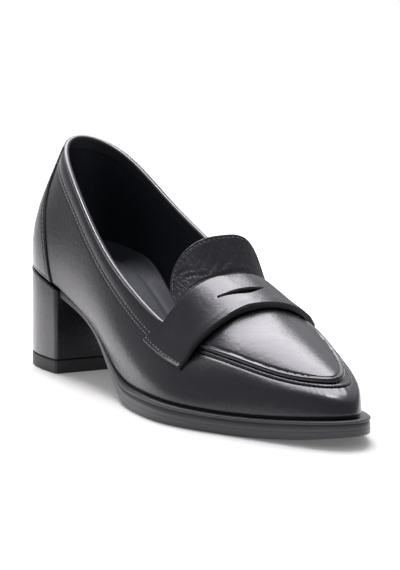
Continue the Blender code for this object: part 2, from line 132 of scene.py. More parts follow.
# Counter, strap with its slot, and tongue: reaches are counted in ways from the middle to a seam
COUNTER_THICK = 0.8
COUNTER_ROW_SHORT = 0.04
STRAP_THICK = 1.7
STRAP_GAP = 0.6
STRAP_GAP_RUN = 12.0
STRAP_FOOT = 0.05
STRAP_LIFT = 1.9
STRAP_REAR = 142.4
STRAP_FRONT = 166.4
STRAP_RISE = 20.0
STRAP_REAR_BOW = 12.5
STRAP_FRONT_BOW = 6.5
STRAP_STRAIGHT = 0.5
STRAP_SEWN = 7.0
STRAP_TRIM = 1.8
STRAP_SWELL = 0.8
STRAP_SWELL_AT = -4.5
STRAP_SWELL_WIDTH = 8.0
STRAP_END_REAR = 1.35
STRAP_END_FRONT = 1.45
SLOT_AT = 155.8
SLOT_OFF = -0.02
SLOT_HALF_LENGTH = 9.6
SLOT_HALF_WIDTH = 1.2
SLOT_TAPER = 1.5
SLOT_LEAN = 0.7
SLOT_BOW = 1.4
TONGUE_THICK = 2.0
TONGUE_WIDTH = 0.86
TONGUE_SIDE = 0.3
TONGUE_ROUND = 2.8
TONGUE_SHIFT = 4.2
TONGUE_WRAP = 1.2
TONGUE_FLAT = 0.4
TONGUE_ROW = (-1.45, 1.15)
CREASE_BOW = 0.05
CREASE_LIP = 0.3
SKIN_GAP = 0.02

# Tables with named columns


def table(columns, *values):
    """Rows of a table with named columns."""
    row = namedtuple("Row", columns)
    return [row(*value) for value in values]


# Plan of the last's bottom: half width, and the y of its centre line
PLAN = table(
    "x half_width centre",
    (5, 14.0, -2.0),
    (12, 20.2, -2.7),
    (24, 24.3, -3.4),
    (45, 24.6, -3.9),
    (80, 24.2, -4.5),
    (115, 29.4, -5.9),
    (130, 32.4, -6.3),
    (145, 34.6, -6.5),
    (160, 35.2, -6.2),
    (176, 33.0, -5.0),
    (190, 29.0, -3.6),
    (205, 23.8, -2.4),
    (220, 17.5, -1.5),
    (233, 10.4, -1.0),
)

# Feather line, where upper and sole meet, and how far the sole's edge stands out past it
FEATHER = table(
    "x height sole_out",
    (0, 46.8, 0.0),
    (20, 44.2, 0.0),
    (45, 38.2, -0.8),
    (60, 32.7, -2.0),
    (75, 26.0, -1.4),
    (90, 18.6, 0.0),
    (105, 12.6, 1.0),
    (120, 9.6, 2.1),
    (140, 9.2, 2.3),
    (165, 8.7, 2.3),
    (190, 8.2, 2.3),
    (210, 8.9, 2.4),
    (228, 10.4, 3.2),
    (245, 12.3, 4.3),
)

# Top line: the collar as far as the throat, then the apron's seam as far as its tip
TOP = table(
    "x half_width centre outer_z inner_z",
    (18, 8.2, -0.6, 102.2, 102.2),
    (30, 15.4, -0.9, 97.0, 96.4),
    (57, 22.3, -1.6, 81.5, 79.6),
    (79, 25.0, -2.0, 66.5, 68.2),
    (97, 26.2, -2.0, 55.7, 60.2),
    (117, 27.0, -1.4, 46.3, 50.8),
    (140, 27.2, -0.4, 37.4, 42.0),
    (163, 25.6, 0.3, 31.5, 36.4),
    (181, 22.9, 0.6, 29.5, 33.2),
    (195, 19.5, 0.8, 27.5, 29.9),
    (207, 15.4, 1.0, 25.6, 27.2),
    (218, 10.1, 1.2, 24.4, 25.2),
)

# Ridge of the vamp along the foot's middle, and how square the arch across it is
RIDGE = table(
    "x height squareness",
    (130, 59.0, 3.2),
    (140, 55.3, 3.1),
    (152, 49.8, 2.8),
    (164, 44.2, 2.4),
    (185, 37.4, 2.2),
    (205, 31.4, 2.2),
    (218, 27.3, 2.2),
    (228, 24.0, 2.2),
)

# Lean of the upper's wall in degrees: outwards where it leaves the sole, inwards at its top
LEAN = table(
    "x foot_out top_in fullness",
    (0, 10.0, 24.0, 0.36),
    (45, 10.0, 13.0, 0.36),
    (72, 20.0, 12.0, 0.36),
    (100, 18.0, 14.0, 0.36),
    (146, 5.0, 40.0, 0.38),
    (185, -1.0, 54.0, 0.41),
    (226, -4.0, 62.0, 0.44),
    (245, -7.0, 64.0, 0.45),
)

# Sole's side from its top lip down: share of the thickness, and how far it draws in
SOLE_EDGE = table(
    "share draw_in",
    *((0.00, 0.8), (0.02, 0.3), (0.05, 0.1), (0.09, 0.0), (0.13, 0.1)),
    *((0.17, 0.5), (0.21, 0.8), (0.26, 0.8), (0.30, 0.5), (0.34, 0.3)),
    *((0.48, 0.2), (0.52, 0.25), (0.55, 0.35), (0.58, 0.25), (0.62, 0.2)),
    *((0.72, 0.2), (0.76, 0.25), (0.79, 0.35), (0.82, 0.25), (0.87, 0.2)),
    *((0.94, 0.3), (0.98, 0.7), (1.00, 1.2)),
)

# Counter's front edge on the wall: share of the wall's height, and x where it meets the last's plan
COUNTER = table(
    "share x",
    (0.02, 39.5),
    (0.26, 33.8),
    (0.42, 27.0),
    (0.58, 18.0),
    (0.74, 11.0),
    (0.96, 8.5),
)

# Spine of the tongue past the throat, a bend and its tip: way back from the throat, and rise
TONGUE_BEND, TONGUE_TIP = table("back rise", (3.6, 4.2), (9.5, 17.4))

# Creases of the tongue: from and to, across (-1 to 1) and up (0 to 1), with depth and width
TONGUE_CREASES = table(
    "across up to_across to_up depth width",
    (-0.84, 0.74, -0.42, 0.30, 0.39, 0.7),
    (-0.74, 0.50, -0.34, 0.16, 0.35, 0.7),
    (-0.66, 0.84, -0.52, 0.50, 0.21, 0.5),
    (-0.30, 0.84, -0.48, 0.44, 0.24, 0.6),
    (-0.14, 0.66, -0.34, 0.26, 0.31, 0.6),
    (-0.02, 0.90, -0.16, 0.60, 0.18, 0.5),
    (0.10, 0.70, -0.08, 0.28, 0.28, 0.6),
    (0.26, 0.84, 0.12, 0.46, 0.21, 0.5),
    (0.40, 0.68, 0.26, 0.28, 0.27, 0.6),
    (0.56, 0.80, 0.48, 0.44, 0.18, 0.5),
    (-0.10, 0.18, 0.52, 0.22, 0.28, 0.8),
)

# Relief lines of the leather, by distance from an edge: depth below zero is a groove
LINE = "at depth width"
COLLAR_LINES = table(
    LINE,
    (0.8, 0.40, 0.55),
    (1.9, -0.12, 0.40),
    (4.4, 0.22, 1.60),
    (7.4, -0.18, 0.34),
    (9.1, -0.18, 0.34),
)
SKIRT_LINES = table(LINE, (2.6, -0.35, 0.50))
APRON_LINES = table(LINE, (1.0, 0.42, 0.70), (2.4, -0.32, 0.42))
COUNTER_LINES = table(LINE, (1.7, -0.22, 0.35))
STRAP_END_LINES = table(LINE, (0.5, 0.22, 0.40), (1.9, -0.20, 0.34), (2.8, 0.12, 0.50))
TONGUE_LINES = table(LINE, (1.7, -0.22, 0.36))
SOCK_LINES = table(LINE, (8.0, -0.45, 0.90))

# Waves of hand-lasted leather: size across and depth
UPPER_WAVE, APRON_WAVE, COUNTER_WAVE, STRAP_WAVE, TONGUE_WAVE, SOCK_WAVE = table(
    "size depth", (24.0, 0.22), (19.0, 0.20), (26.0, 0.20), (16.0, 0.15), (9.0, 0.25), (20.0, 0.30)
)
WAVE_CLIMB = 8.0
WAVE_FALL = 12.0

# Fine steps at an edge, in millimetres from it
EDGE_STEPS = (0.0, 0.1, 0.25, 0.45, 0.7, 1.0, 1.4, 1.8, 2.2, 2.6, 3.0, 3.4, 4.0, 4.7)
STRAP_STEPS = EDGE_STEPS[:11]
COLLAR_STEPS = (
    *(0.0, 0.1, 0.25, 0.5, 0.8, 1.1, 1.5, 1.9, 2.3, 2.7, 3.2, 3.8),
    *(4.5, 5.3, 6.2, 6.75, 7.1, 7.4, 7.7, 8.2, 8.75, 9.1, 9.45, 10.1),
)
FOOT_STEPS = (0.0, 0.3, 0.7, 1.2, 1.8, 2.6)
BEVEL_STEPS = (1.0, 0.6, 0.3, 0.1, 0.0)

# Rough lengths of the pieces, by which their cuts are spaced
APRON_LENGTH = 95.0
APRON_BREADTH = 46.0
COUNTER_GIRTH = 110.0
COUNTER_HEIGHT = 58.0
STRAP_HALF = 12.4
STRAP_FLAP = 9.0
TONGUE_BREADTH = 52.0
TONGUE_HEIGHT = 24.0
SOCK_LENGTH = 234.0
SOCK_BREADTH = 58.0

# How finely the surfaces are cut, and the small steps by which directions are taken
AROUND = 384
WALL_SAMPLES = 13
WALL_EVEN_ROWS = 34
VAMP_COLUMNS = 41
BEAD_ROWS = 260
BEAD_COLUMNS = 13
STRAP_COLUMNS = 91
FLAP_MIDDLE = 0.25
STRAP_END_POINTS = 120
CREASE_POINTS = 40
SEAM_POINTS = 1200
SOLE_POINTS = 150
HEEL_POINTS = 121
CORNER_POINTS = 7
COLLAR_ROW_POINTS = 500
COUNTER_ROW_POINTS = 90
TONGUE_ROW_POINTS = 200
FINE_STEP = 1.1
STRAP_STEP = 0.9
TONGUE_STEP = 0.8
SOCK_STEP = 1.6
FEWEST_STEPS = 3
STEP_DIGITS = 6
SHARP_EDGE = math.radians(42.0)
WELD_DIGITS = 3
PLAN_STEP = 0.01
NORMAL_STEP = 0.002
INWARD_STEP = 0.04
BORDER_CUTS = 6
SPINDLE_SIDES = 8
SPINDLE_RINGS = 6
SPINDLE_RADIUS = 0.5
TURNS = np.arange(AROUND) * 2 * np.pi / AROUND

# Cut edges: share of the height left at the very edge, and how far in the dye reaches
EDGE_HEIGHT = 0.35
INKED = 0.3
THREAD_SUNK = 0.12

# Angle from which the sole's edge is measured, climb that counts as the feather line, and the vamp's climb
SOLE_TURN = 0.8
ON_FOOT = 0.01
FAR = 99.0


# Colours and curves


def linear(code):
    """Linear colour of an sRGB hex code."""
    values = [int(code[k : k + 2], 16) / 255 for k in (1, 3, 5)]
    return tuple(v / 12.92 if v <= 0.04045 else ((v + 0.055) / 1.055) ** 2.4 for v in values)


def spline(xs, ys):
    """Natural cubic through the points, as a function of x."""
    xs = np.asarray(xs, float)
    ys = np.asarray(ys, float)
    step = np.diff(xs)
    slope = np.diff(ys) / step
    count = len(xs)
    system = np.zeros((count, count))
    system[0, 0] = 1.0
    system[-1, -1] = 1.0
    change = np.zeros(count)
    for i in range(1, count - 1):
        system[i, i - 1 : i + 2] = step[i - 1], 2 * (step[i - 1] + step[i]), step[i]
        change[i] = 6 * (slope[i] - slope[i - 1])
    bend = np.linalg.solve(system, change)

    def value(at):
        at = np.asarray(at, float)
        k = np.clip(np.searchsorted(xs, at) - 1, 0, count - 2)
        b = (at - xs[k]) / step[k]
        a = 1.0 - b
        cubic = (a**3 - a) * bend[k] + (b**3 - b) * bend[k + 1]
        return a * ys[k] + b * ys[k + 1] + cubic * step[k] ** 2 / 6

    return value


def along(rows, name, key="x"):
    """Spline of one named column of a table against its key column."""
    return spline([getattr(row, key) for row in rows], [getattr(row, name) for row in rows])


def turn_at(x, back, front):
    """Angle round the shoe, 0 at the heel's back and pi at the toe, where x lies between back and front."""
    return np.arccos(np.clip(1 - 2 * (np.asarray(x, float) - back) / (front - back), -1, 1))


def last_turn(x):
    """Angle at which the last's plan has this x."""
    return turn_at(x, LAST_BACK, LAST_TOE)


def top_turn(x):
    """Angle at which the top line has this x."""
    return turn_at(x, COLLAR_BACK, APRON_TIP)


def x_at(turn, back, front):
    """The x at an angle round the shoe, between back and front."""
    return back + (front - back) * (1 - np.cos(turn)) / 2


def half_widths(rows, turns):
    """Half width against the angle round the shoe, closing to nothing at both ends."""
    return spline(np.r_[0, turns, np.pi], np.r_[0, [row.half_width for row in rows], 0])


def top_heights(name):
    """Spline of one side's heights of the top line, from the collar's back to the apron's tip."""
    xs = [COLLAR_BACK, *(row.x for row in TOP), APRON_TIP]
    return spline(xs, [COLLAR_BACK_Z, *(getattr(row, name) for row in TOP), APRON_TIP_Z])


def folded(turn):
    """The angle on the outer half that has the same x."""
    turn = np.mod(turn, 2 * np.pi)
    return np.where(turn > np.pi, 2 * np.pi - turn, turn)


def side(turn):
    """-1 on the outer side, +1 on the inner side."""
    return np.where(np.mod(turn, 2 * np.pi) > np.pi, 1.0, -1.0)


def smooth(share):
    """Soft step from 0 to 1."""
    share = np.clip(share, 0, 1)
    return share * share * (3 - 2 * share)


def bell(away, width):
    """Soft bump: 1 in its middle, fading to nothing over its width."""
    return np.exp(-((away / width) ** 2))


def unit(vectors):
    """Vectors made 1 long."""
    return vectors / np.linalg.norm(vectors, axis=-1, keepdims=True)


plan_half = half_widths(PLAN, last_turn([row.x for row in PLAN]))
plan_centre = along(PLAN, "centre")
feather_height = along(FEATHER, "height")
sole_out = along(FEATHER, "sole_out")
top_half = half_widths(TOP, top_turn([row.x for row in TOP]))
top_centre = along(TOP, "centre")
top_outer = top_heights("outer_z")
top_inner = top_heights("inner_z")
ridge_height = along(RIDGE, "height")
ridge_squareness = along(RIDGE, "squareness")
lean_foot = along(LEAN, "foot_out")
lean_top = along(LEAN, "top_in")
lean_fullness = along(LEAN, "fullness")
counter_edge = along(COUNTER, "x", key="share")


# The last's surface


def plan_point(turn):
    """Point of the last's bottom edge, seen from above."""
    x = x_at(turn, LAST_BACK, LAST_TOE)
    return np.stack([x, plan_centre(x) + side(turn) * plan_half(folded(turn))], axis=-1)


def plan_outward(turn):
    """Unit direction straight out of the last's bottom edge, seen from above."""
    run = plan_point(turn + PLAN_STEP) - plan_point(turn - PLAN_STEP)
    return unit(np.stack([run[..., 1], -run[..., 0]], axis=-1))


def plan_offset(turn, distance):
    """Plan of the last's bottom, moved out by a distance."""
    return plan_point(turn) + plan_outward(turn) * np.asarray(distance)[..., None]


def raised(plan, height):
    """Plan points given their height."""
    return np.concatenate([plan, np.broadcast_to(height, plan.shape[:-1])[..., None]], axis=-1)


def top_point(turn):
    """Point of the collar or of the apron's seam."""
    x = x_at(turn, COLLAR_BACK, APRON_TIP)
    y = top_centre(x) + side(turn) * top_half(folded(turn))
    z = np.where(side(turn) < 0, top_outer(x), top_inner(x))
    return np.stack([x, y, z], axis=-1)


def wall_point(turn, share):
    """Point of the upper's outside: share 0 at the feather line, 1 at the top line."""
    turn, share = np.broadcast_arrays(np.asarray(turn, float), np.asarray(share, float))
    plan = plan_point(turn)
    foot = raised(plan, feather_height(plan[..., 0]))
    top = top_point(turn)
    out = raised(plan_outward(turn), 0.0)
    up = np.array([0.0, 0.0, 1.0])
    foot_lean = np.radians(lean_foot(plan[..., 0]))[..., None]
    top_lean = np.radians(lean_top(plan[..., 0]))[..., None]
    handle = lean_fullness(plan[..., 0])[..., None] * np.linalg.norm(top - foot, axis=-1, keepdims=True)
    low = foot + handle * (up * np.cos(foot_lean) + out * np.sin(foot_lean))
    high = top - handle * (up * np.cos(top_lean) - out * np.sin(top_lean))
    t = share[..., None]
    return (1 - t) ** 3 * foot + 3 * (1 - t) ** 2 * t * low + 3 * (1 - t) * t**2 * high + t**3 * top


def wall_height(turn):
    """Length of the wall from the feather line up to the top line."""
    shares = np.linspace(0, 1, WALL_SAMPLES)
    steps = np.diff(wall_point(np.asarray(turn)[None, :], shares[:, None]), axis=0)
    return np.linalg.norm(steps, axis=-1).sum(axis=0)


def vamp_point(turn, across):
    """Point of the vamp's top between its two seams: across is -1 at the outer seam, +1 at the inner one."""
    turn, across = np.broadcast_arrays(np.asarray(turn, float), np.asarray(across, float))
    outer = top_point(turn)
    inner = top_point(2 * np.pi - turn)
    x = outer[..., 0]
    crown = ridge_height(x) - (outer[..., 2] + inner[..., 2]) / 2
    point = (outer + inner) / 2 + (inner - outer) / 2 * across[..., None]
    point[..., 2] += crown * (1 - np.abs(across) ** ridge_squareness(x))
    return point


def over_point(x, reach):
    """Point of the upper under the strap: reach 1 is a seam, and beyond it the strap runs down the wall."""
    x, reach = np.broadcast_arrays(np.asarray(x, float), np.asarray(reach, float))
    turn = top_turn(x)
    down = np.clip(1 - (np.abs(reach) - 1), 0, 1)
    wall = wall_point(np.where(reach < 0, turn, 2 * np.pi - turn), down)
    vamp = vamp_point(turn, np.clip(reach, -1, 1))
    return np.where((np.abs(reach) > 1)[..., None], wall, vamp)


def tongue_point(across, up):
    """Point of the tongue's front: across -1 to 1, up 0 at the throat to 1 along the rounded edge."""
    across, up = np.broadcast_arrays(np.asarray(across, float), np.asarray(up, float))
    section = vamp_point(THROAT_TURN, across * TONGUE_WIDTH)
    crown = vamp_point(THROAT_TURN, 0.0)
    drop = crown[2] - section[..., 2]
    bulge = np.sqrt(np.clip(1 - np.abs(across) ** TONGUE_ROUND, 0, 1))
    share = up * (TONGUE_SIDE + (1 - TONGUE_SIDE) * bulge)
    back = 2 * (1 - share) * share * TONGUE_BEND.back + share**2 * TONGUE_TIP.back
    rise = 2 * (1 - share) * share * TONGUE_BEND.rise + share**2 * TONGUE_TIP.rise
    x = crown[0] - SEAM_GAP - back - drop * TONGUE_WRAP * share
    z = crown[2] + rise - drop * (1 - TONGUE_FLAT * share)
    return np.stack([x, section[..., 1] + TONGUE_SHIFT * share, z], axis=-1)


def lifted(surface, u, v, height):
    """Points of a surface, raised by a height straight out of the shoe."""
    point = surface(u, v)
    along_u = surface(u + NORMAL_STEP, v) - surface(u - NORMAL_STEP, v)
    along_v = surface(u, v + NORMAL_STEP) - surface(u, v - NORMAL_STEP)
    normal = unit(np.cross(along_u, along_v))
    core = np.stack([point[..., 0], top_centre(point[..., 0]), feather_height(point[..., 0])], axis=-1)
    return point + normal * np.sign(((point - core) * normal).sum(axis=-1, keepdims=True)) * height


def set_in(surface, edge, further_in, height, inside):
    """Line on a piece, square in from its edge: edge and a line further in are by the surface's measures."""
    line = lifted(surface, *edge, height)
    run = unit(np.gradient(line, axis=0))
    inwards = lifted(surface, *further_in, height) - line
    inwards -= run * (inwards * run).sum(axis=1, keepdims=True)
    return line + unit(inwards) * inside


# Meshes


def grid(rows, columns, wrap=False, flip=False, start=0):
    """Quads of a grid of points, row by row, closed on itself along the columns where it wraps."""
    i, j = np.mgrid[0 : rows - 1, 0 : columns if wrap else columns - 1]
    k = (j + 1) % columns
    low = start + i * columns
    quads = np.stack([low + j, low + k, low + columns + k, low + columns + j], axis=-1).reshape(-1, 4)
    return quads[:, ::-1] if flip else quads


def weld(points, quads):
    """The same surface with points that coincide made one, collapsed faces dropped, and the points kept."""
    places = np.round(points, WELD_DIGITS)
    _, kept, index = np.unique(places, axis=0, return_index=True, return_inverse=True)
    quads = index.reshape(-1)[quads]
    distinct = 1 + (np.diff(np.sort(quads, axis=1), axis=1) > 0).sum(axis=1)
    return points[kept], quads[distinct > 2], kept


def normals_of(points, quads):
    """Unit normals of a surface at its points, weighted by area."""
    a, b, c, d = (points[quads[:, k]] for k in range(4))
    normal = np.cross(c - a, d - b)
    total = np.zeros_like(points)
    for k in range(4):
        np.add.at(total, quads[:, k], normal)
    return unit(total)


def border_edges(quads):
    """Edges that belong to one face only, in that face's direction."""
    edges = np.concatenate([np.stack([quads[:, k], quads[:, (k + 1) % 4]], axis=-1) for k in range(4)])
    edges = edges[edges[:, 0] != edges[:, 1]]
    count = quads.max() + 1
    ahead = edges[:, 0] * count + edges[:, 1]
    behind = edges[:, 1] * count + edges[:, 0]
    return edges[~np.isin(ahead, behind)]


def distance_to(points, line):
    """Distance from each point to the nearest point of a line."""
    tree = kdtree.KDTree(len(line))
    for k, point in enumerate(line):
        tree.insert(point, k)
    tree.balance()
    return np.array([tree.find(point)[2] for point in points])


def border_line(points, quads):
    """Points close together all along a surface's border."""
    edges = border_edges(quads)
    shares = np.arange(BORDER_CUTS) / BORDER_CUTS
    start = points[edges[:, 0]][:, None, :]
    run = points[edges[:, 1]][:, None, :] - start
    return (start + run * shares[None, :, None]).reshape(-1, 3)


def rounded(distance, radius):
    """Share of full height at a distance from an edge that is rounded with a radius."""
    return np.sqrt(1 - np.clip(1 - distance / radius, 0, 1) ** 2)


def relief(lines, distance):
    """Height of a set of raised or sunk lines at a distance from the edge that they follow."""
    return sum(line.depth * bell(distance - line.at, line.width) for line in lines)


def unevenness(points, wave):
    """Gentle waves of hand-lasted leather."""
    return wave.depth * np.array([noise.noise(Vector(point / wave.size)) for point in points])


def panel(thick, lines, wave):
    """Height of a panel's outside, from its points and their distance to the edge."""
    return lambda points, edge: thick + relief(lines, edge) + unevenness(points, wave)


def shell(outside, inside, quads):
    """Closed solid between two copies of a surface: its faces are the outside, the inside, then the rims."""
    count = len(outside)
    rim = border_edges(quads)
    sides = np.stack([rim[:, 1], rim[:, 0], rim[:, 0] + count, rim[:, 1] + count], axis=-1)
    return np.concatenate([outside, inside]), np.concatenate([quads, quads[:, ::-1] + count, sides])


def sheet(points, quads, low, high, radius):
    """Leather sheet on a surface with rounded edges, and which of its faces are its cut edge or underside.

    High gives the height of its outside from the points and their distance to the edge. Low is the height of
    its underside, or gives it from the points.
    """
    points, quads, _ = weld(points.reshape(-1, 3), quads)
    normals = normals_of(points, quads)
    edge = distance_to(points, border_line(points, quads))
    under = low(points) if callable(low) else np.full(len(points), low)
    crown = EDGE_HEIGHT + (1 - EDGE_HEIGHT) * rounded(edge, radius)
    over = under + (high(points, edge) - under) * crown
    solid = shell(points + normals * over[:, None], points + normals * under[:, None], quads)
    cut = np.ones(len(solid[1]), int)
    cut[: len(quads)] = edge[quads].mean(axis=1) < INKED
    return solid, cut


def spaced(length, step=FINE_STEP, ends=EDGE_STEPS):
    """Shares of a length from 0 to 1 in even steps, with finer ones at both ends for rounded edges."""
    fine = np.array(ends) / length
    even = np.linspace(fine[-1], 1 - fine[-1], max(FEWEST_STEPS, round(length / step)))
    return np.unique(np.round(np.r_[fine, even, 1 - fine], STEP_DIGITS))


def both_ways(shares):
    """Shares from 0 to 1 drawn out to run from -1 to 1."""
    return 2 * shares - 1


def stacked(plans, heights):
    """Solid with an outline that runs up one side and down the other, from rings of it stacked downwards."""
    rings = [raised(plan, height) for plan, height in zip(plans, heights)]
    count = len(rings[0])
    i = np.arange((count - 1) // 2)
    cap = np.stack([i, i + 1, count - 2 - i, count - 1 - i], axis=-1)
    sides = grid(len(rings), count, wrap=True)
    quads = np.concatenate([sides, cap[:, ::-1], cap + (len(rings) - 1) * count])
    x, y = plans[0].T
    turns_left = (x * np.roll(y, -1) - y * np.roll(x, -1)).sum() > 0
    return np.concatenate(rings), quads[:, ::-1] if turns_left else quads


def frame_shift():
    """Where the frame's origin lies in the shoe's measure, from the sole's own box."""
    low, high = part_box("outsole")
    turns = np.linspace(SOLE_TURN, 2 * np.pi - SOLE_TURN, SEAM_POINTS)
    edge = plan_offset(turns, sole_out(plan_point(turns)[:, 0]))
    return np.array([edge[:, 0].max() - high.x / MM, edge[:, 1].min() - low.y / MM, 0.0])


SHIFT = frame_shift()


def put_in_scene(name, data):
    """New object in the scene."""
    made = bpy.data.objects.new(name, data)
    bpy.context.scene.collection.objects.link(made)
    return made


def put_on_shoe(name, mesh):
    """New object in the scene that rides the shoe."""
    piece = put_in_scene(name, mesh)
    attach(piece, "root")
    return piece


def make_piece(name, solid, materials, nodes, material_index=None):
    """Finished object in the frame's measure, riding the shoe in place of its CAD nodes."""
    points, quads = solid
    mesh = bpy.data.meshes.new(name)
    faces = [tuple(dict.fromkeys(quad)) for quad in quads.tolist()]
    mesh.from_pydata(((points - SHIFT) * MM).tolist(), [], faces)
    for material in materials:
        mesh.materials.append(material)
    if material_index is not None:
        mesh.polygons.foreach_set("material_index", material_index)
    mesh.shade_smooth()
    mesh.set_sharp_from_angle(angle=SHARP_EDGE)
    piece = put_on_shoe(name, mesh)
    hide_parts(*nodes)


# Materials, with the sizes of their patterns in millimetres

BLUE_BLACK = (0.95, 0.92, 1.0, 1.0)
LEATHER_IOR = 1.55
SOLE_IOR = 1.5
WAX_ROUGHNESS = 0.25
BLOTCH = 14.0
BLOTCH_DARK = 0.72
PORES_PER_CELL = 2.5
PORE_WEIGHT = 0.5
SLACK_PER_CELL = 0.28
SLACK_WEIGHT = 3.2
SLACK_SHINE = 0.06
WRINKLE = 1.5
WRINKLE_TURN = (0.9, 0.0, 0.0)
WRINKLE_STRETCH = (0.5, 1.0, 0.22)
WRINKLE_DEPTH = 0.12
WRINKLE_FOLD = 0.22
WRINKLE_SWAY = 3.0
WRINKLE_SWAY_LENGTH = 5.0
# Paler swells of the wrinkles: partly wear, partly painted highlight
WRINKLE_GRAIN = 0.9
WEAR_AND_HIGHLIGHT_PALE = 2.2
FOLD_DULL = 0.2
SCUFF_STRETCH = (0.25, 0.25, 1.0)
SCUFF_ROUGH = 0.6
SCUFF_PALE = 1.5
SCUFF_SHINE = (-0.08, 0.10)
STRAND = 0.5
STRAND_PALE = 1.8
THREAD_ROUGHNESS = 0.42
THREAD_SHEEN = 0.3
FIBRE = 40.0
FIBRE_DARK = 0.99
PAPER_ROUGHNESS = 0.9


def feed(tree, node, inputs):
    """Links each input of a node to a socket, or gives it a value."""
    for key, value in inputs.items():
        if isinstance(value, bpy.types.NodeSocket):
            tree.links.new(value, node.inputs[key])
        else:
            node.inputs[key].default_value = value


def add_node(tree, kind, settings=None, inputs=None):
    """Adds a node with its settings and its inputs, and gives its outputs."""
    made = tree.nodes.new(kind)
    for key, value in (settings or {}).items():
        setattr(made, key, value)
    feed(tree, made, inputs or {})
    return made.outputs


def new_material(name):
    """Node material, its tree, its shader and its Object coordinates."""
    material = bpy.data.materials.new(name)
    material.use_nodes = True
    tree = material.node_tree
    place = add_node(tree, "ShaderNodeTexCoord")["Object"]
    return material, tree, tree.nodes["Principled BSDF"], place


def mottle(tree, place, size, detail=2.0, **more):
    """Outputs of a noise with spots of a size across."""
    inputs = {"Vector": place, "Scale": 1 / (size * MM), "Detail": detail, **more}
    return add_node(tree, "ShaderNodeTexNoise", inputs=inputs)


def laid_over(tree, pattern, weight, ground):
    """One pattern with a weight, laid over another."""
    inputs = {0: pattern, 1: weight, 2: ground}
    return add_node(tree, "ShaderNodeMath", {"operation": "MULTIPLY_ADD"}, inputs)[0]


def toned(tree, share, colour, low=1.0, high=1.0):
    """A colour made darker or paler, between a low and a high factor of it."""
    ends = [(*(factor * c for c in colour), 1.0) for factor in (low, high)]
    inputs = {0: share, 6: ends[0], 7: ends[1]}
    return add_node(tree, "ShaderNodeMix", {"data_type": "RGBA"}, inputs)[2]


def between(tree, share, low, high):
    """A value that runs from low to high."""
    inputs = {"Value": share, "To Min": low, "To Max": high}
    return add_node(tree, "ShaderNodeMapRange", inputs=inputs)[0]


def bumped(tree, height, depth):
    """Normals of a surface with a pattern sunk into it."""
    inputs = {"Height": height, "Distance": depth * MM, "Strength": 1.0}
    return add_node(tree, "ShaderNodeBump", inputs=inputs)[0]


def leather(name, colour, roughness, grain, depth, coat):
    """Smooth calf leather, dyed through and waxed blue-black: soft broad gloss over a fine closed grain.

    The real grain is about 0.4 mm across, too fine to show, so it is drawn at the size that grain gives, and
    the slack of the hide under it, a few millimetres across, mottles the gloss.
    """
    material, tree, shader, place = new_material(name)
    blotch = mottle(tree, place, BLOTCH, detail=3.0)[0]
    pores = mottle(tree, place, grain / PORES_PER_CELL)[0]
    slack = mottle(tree, place, grain / SLACK_PER_CELL)[0]
    round_cells = {"feature": "SMOOTH_F1"}
    cells = add_node(tree, "ShaderNodeTexVoronoi", round_cells, {"Vector": place, "Scale": 1 / (grain * MM)})
    fine = laid_over(tree, pores, PORE_WEIGHT, cells[0])
    inputs = {
        "Base Color": toned(tree, blotch, colour, low=BLOTCH_DARK),
        "Roughness": between(tree, slack, roughness + SLACK_SHINE, roughness - SLACK_SHINE),
        "Normal": bumped(tree, laid_over(tree, slack, SLACK_WEIGHT, fine), depth),
        "IOR": LEATHER_IOR,
        "Specular Tint": BLUE_BLACK,
        "Coat Weight": coat,
        "Coat Roughness": WAX_ROUGHNESS,
    }
    feed(tree, shader, inputs)
    return material


def wrinkled(name, colour, roughness):
    """Calf that has been folded: a net of wrinkles, paler on its swells, partly wear and partly painted
    highlight, and dull in its folds.
    """
    material, tree, shader, place = new_material(name)
    drawn_out = {"Vector": place, "Rotation": WRINKLE_TURN, "Scale": WRINKLE_STRETCH}
    drawn = add_node(tree, "ShaderNodeMapping", inputs=drawn_out)[0]
    sway = mottle(tree, drawn, WRINKLE_SWAY_LENGTH)["Color"]
    swayed = {0: sway, 1: (WRINKLE_SWAY * MM,) * 3, 2: drawn}
    bent = add_node(tree, "ShaderNodeVectorMath", {"operation": "MULTIPLY_ADD"}, swayed)[0]
    folds = {"feature": "DISTANCE_TO_EDGE"}
    net = add_node(tree, "ShaderNodeTexVoronoi", folds, {"Vector": bent, "Scale": 1 / (WRINKLE * MM)})
    soft = {"interpolation_type": "SMOOTHSTEP"}
    swells = {"Value": net[0], "From Max": WRINKLE_FOLD}
    swell = add_node(tree, "ShaderNodeMapRange", soft, swells)[0]
    grain = mottle(tree, place, WRINKLE_GRAIN, detail=3.0)[0]
    # Paler swells: partly wear, partly painted highlight on the wrinkles' crests
    wear_and_highlight = add_node(tree, "ShaderNodeMath", {"operation": "MULTIPLY"}, {0: swell, 1: grain})[0]
    inputs = {
        "Base Color": toned(tree, wear_and_highlight, colour, high=WEAR_AND_HIGHLIGHT_PALE),
        "Roughness": between(tree, swell, roughness + FOLD_DULL, roughness),
        "Normal": bumped(tree, laid_over(tree, grain, PORE_WEIGHT, swell), WRINKLE_DEPTH),
        "IOR": LEATHER_IOR,
        "Specular Tint": BLUE_BLACK,
    }
    feed(tree, shader, inputs)
    return material


def dressed_sole(name, colour, roughness, streak, depth):
    """Moulded sole with dressed edge, and rubber lift: satin, with fine scuffs drawn out along the edge."""
    material, tree, shader, place = new_material(name)
    run = add_node(tree, "ShaderNodeMapping", inputs={"Vector": place, "Scale": SCUFF_STRETCH})[0]
    scuff = mottle(tree, run, streak, detail=4.0, Roughness=SCUFF_ROUGH)[0]
    inputs = {
        "Base Color": toned(tree, scuff, colour, high=SCUFF_PALE),
        "Roughness": between(tree, scuff, *(roughness + change for change in SCUFF_SHINE)),
        "Normal": bumped(tree, scuff, depth),
        "IOR": SOLE_IOR,
    }
    feed(tree, shader, inputs)
    return material


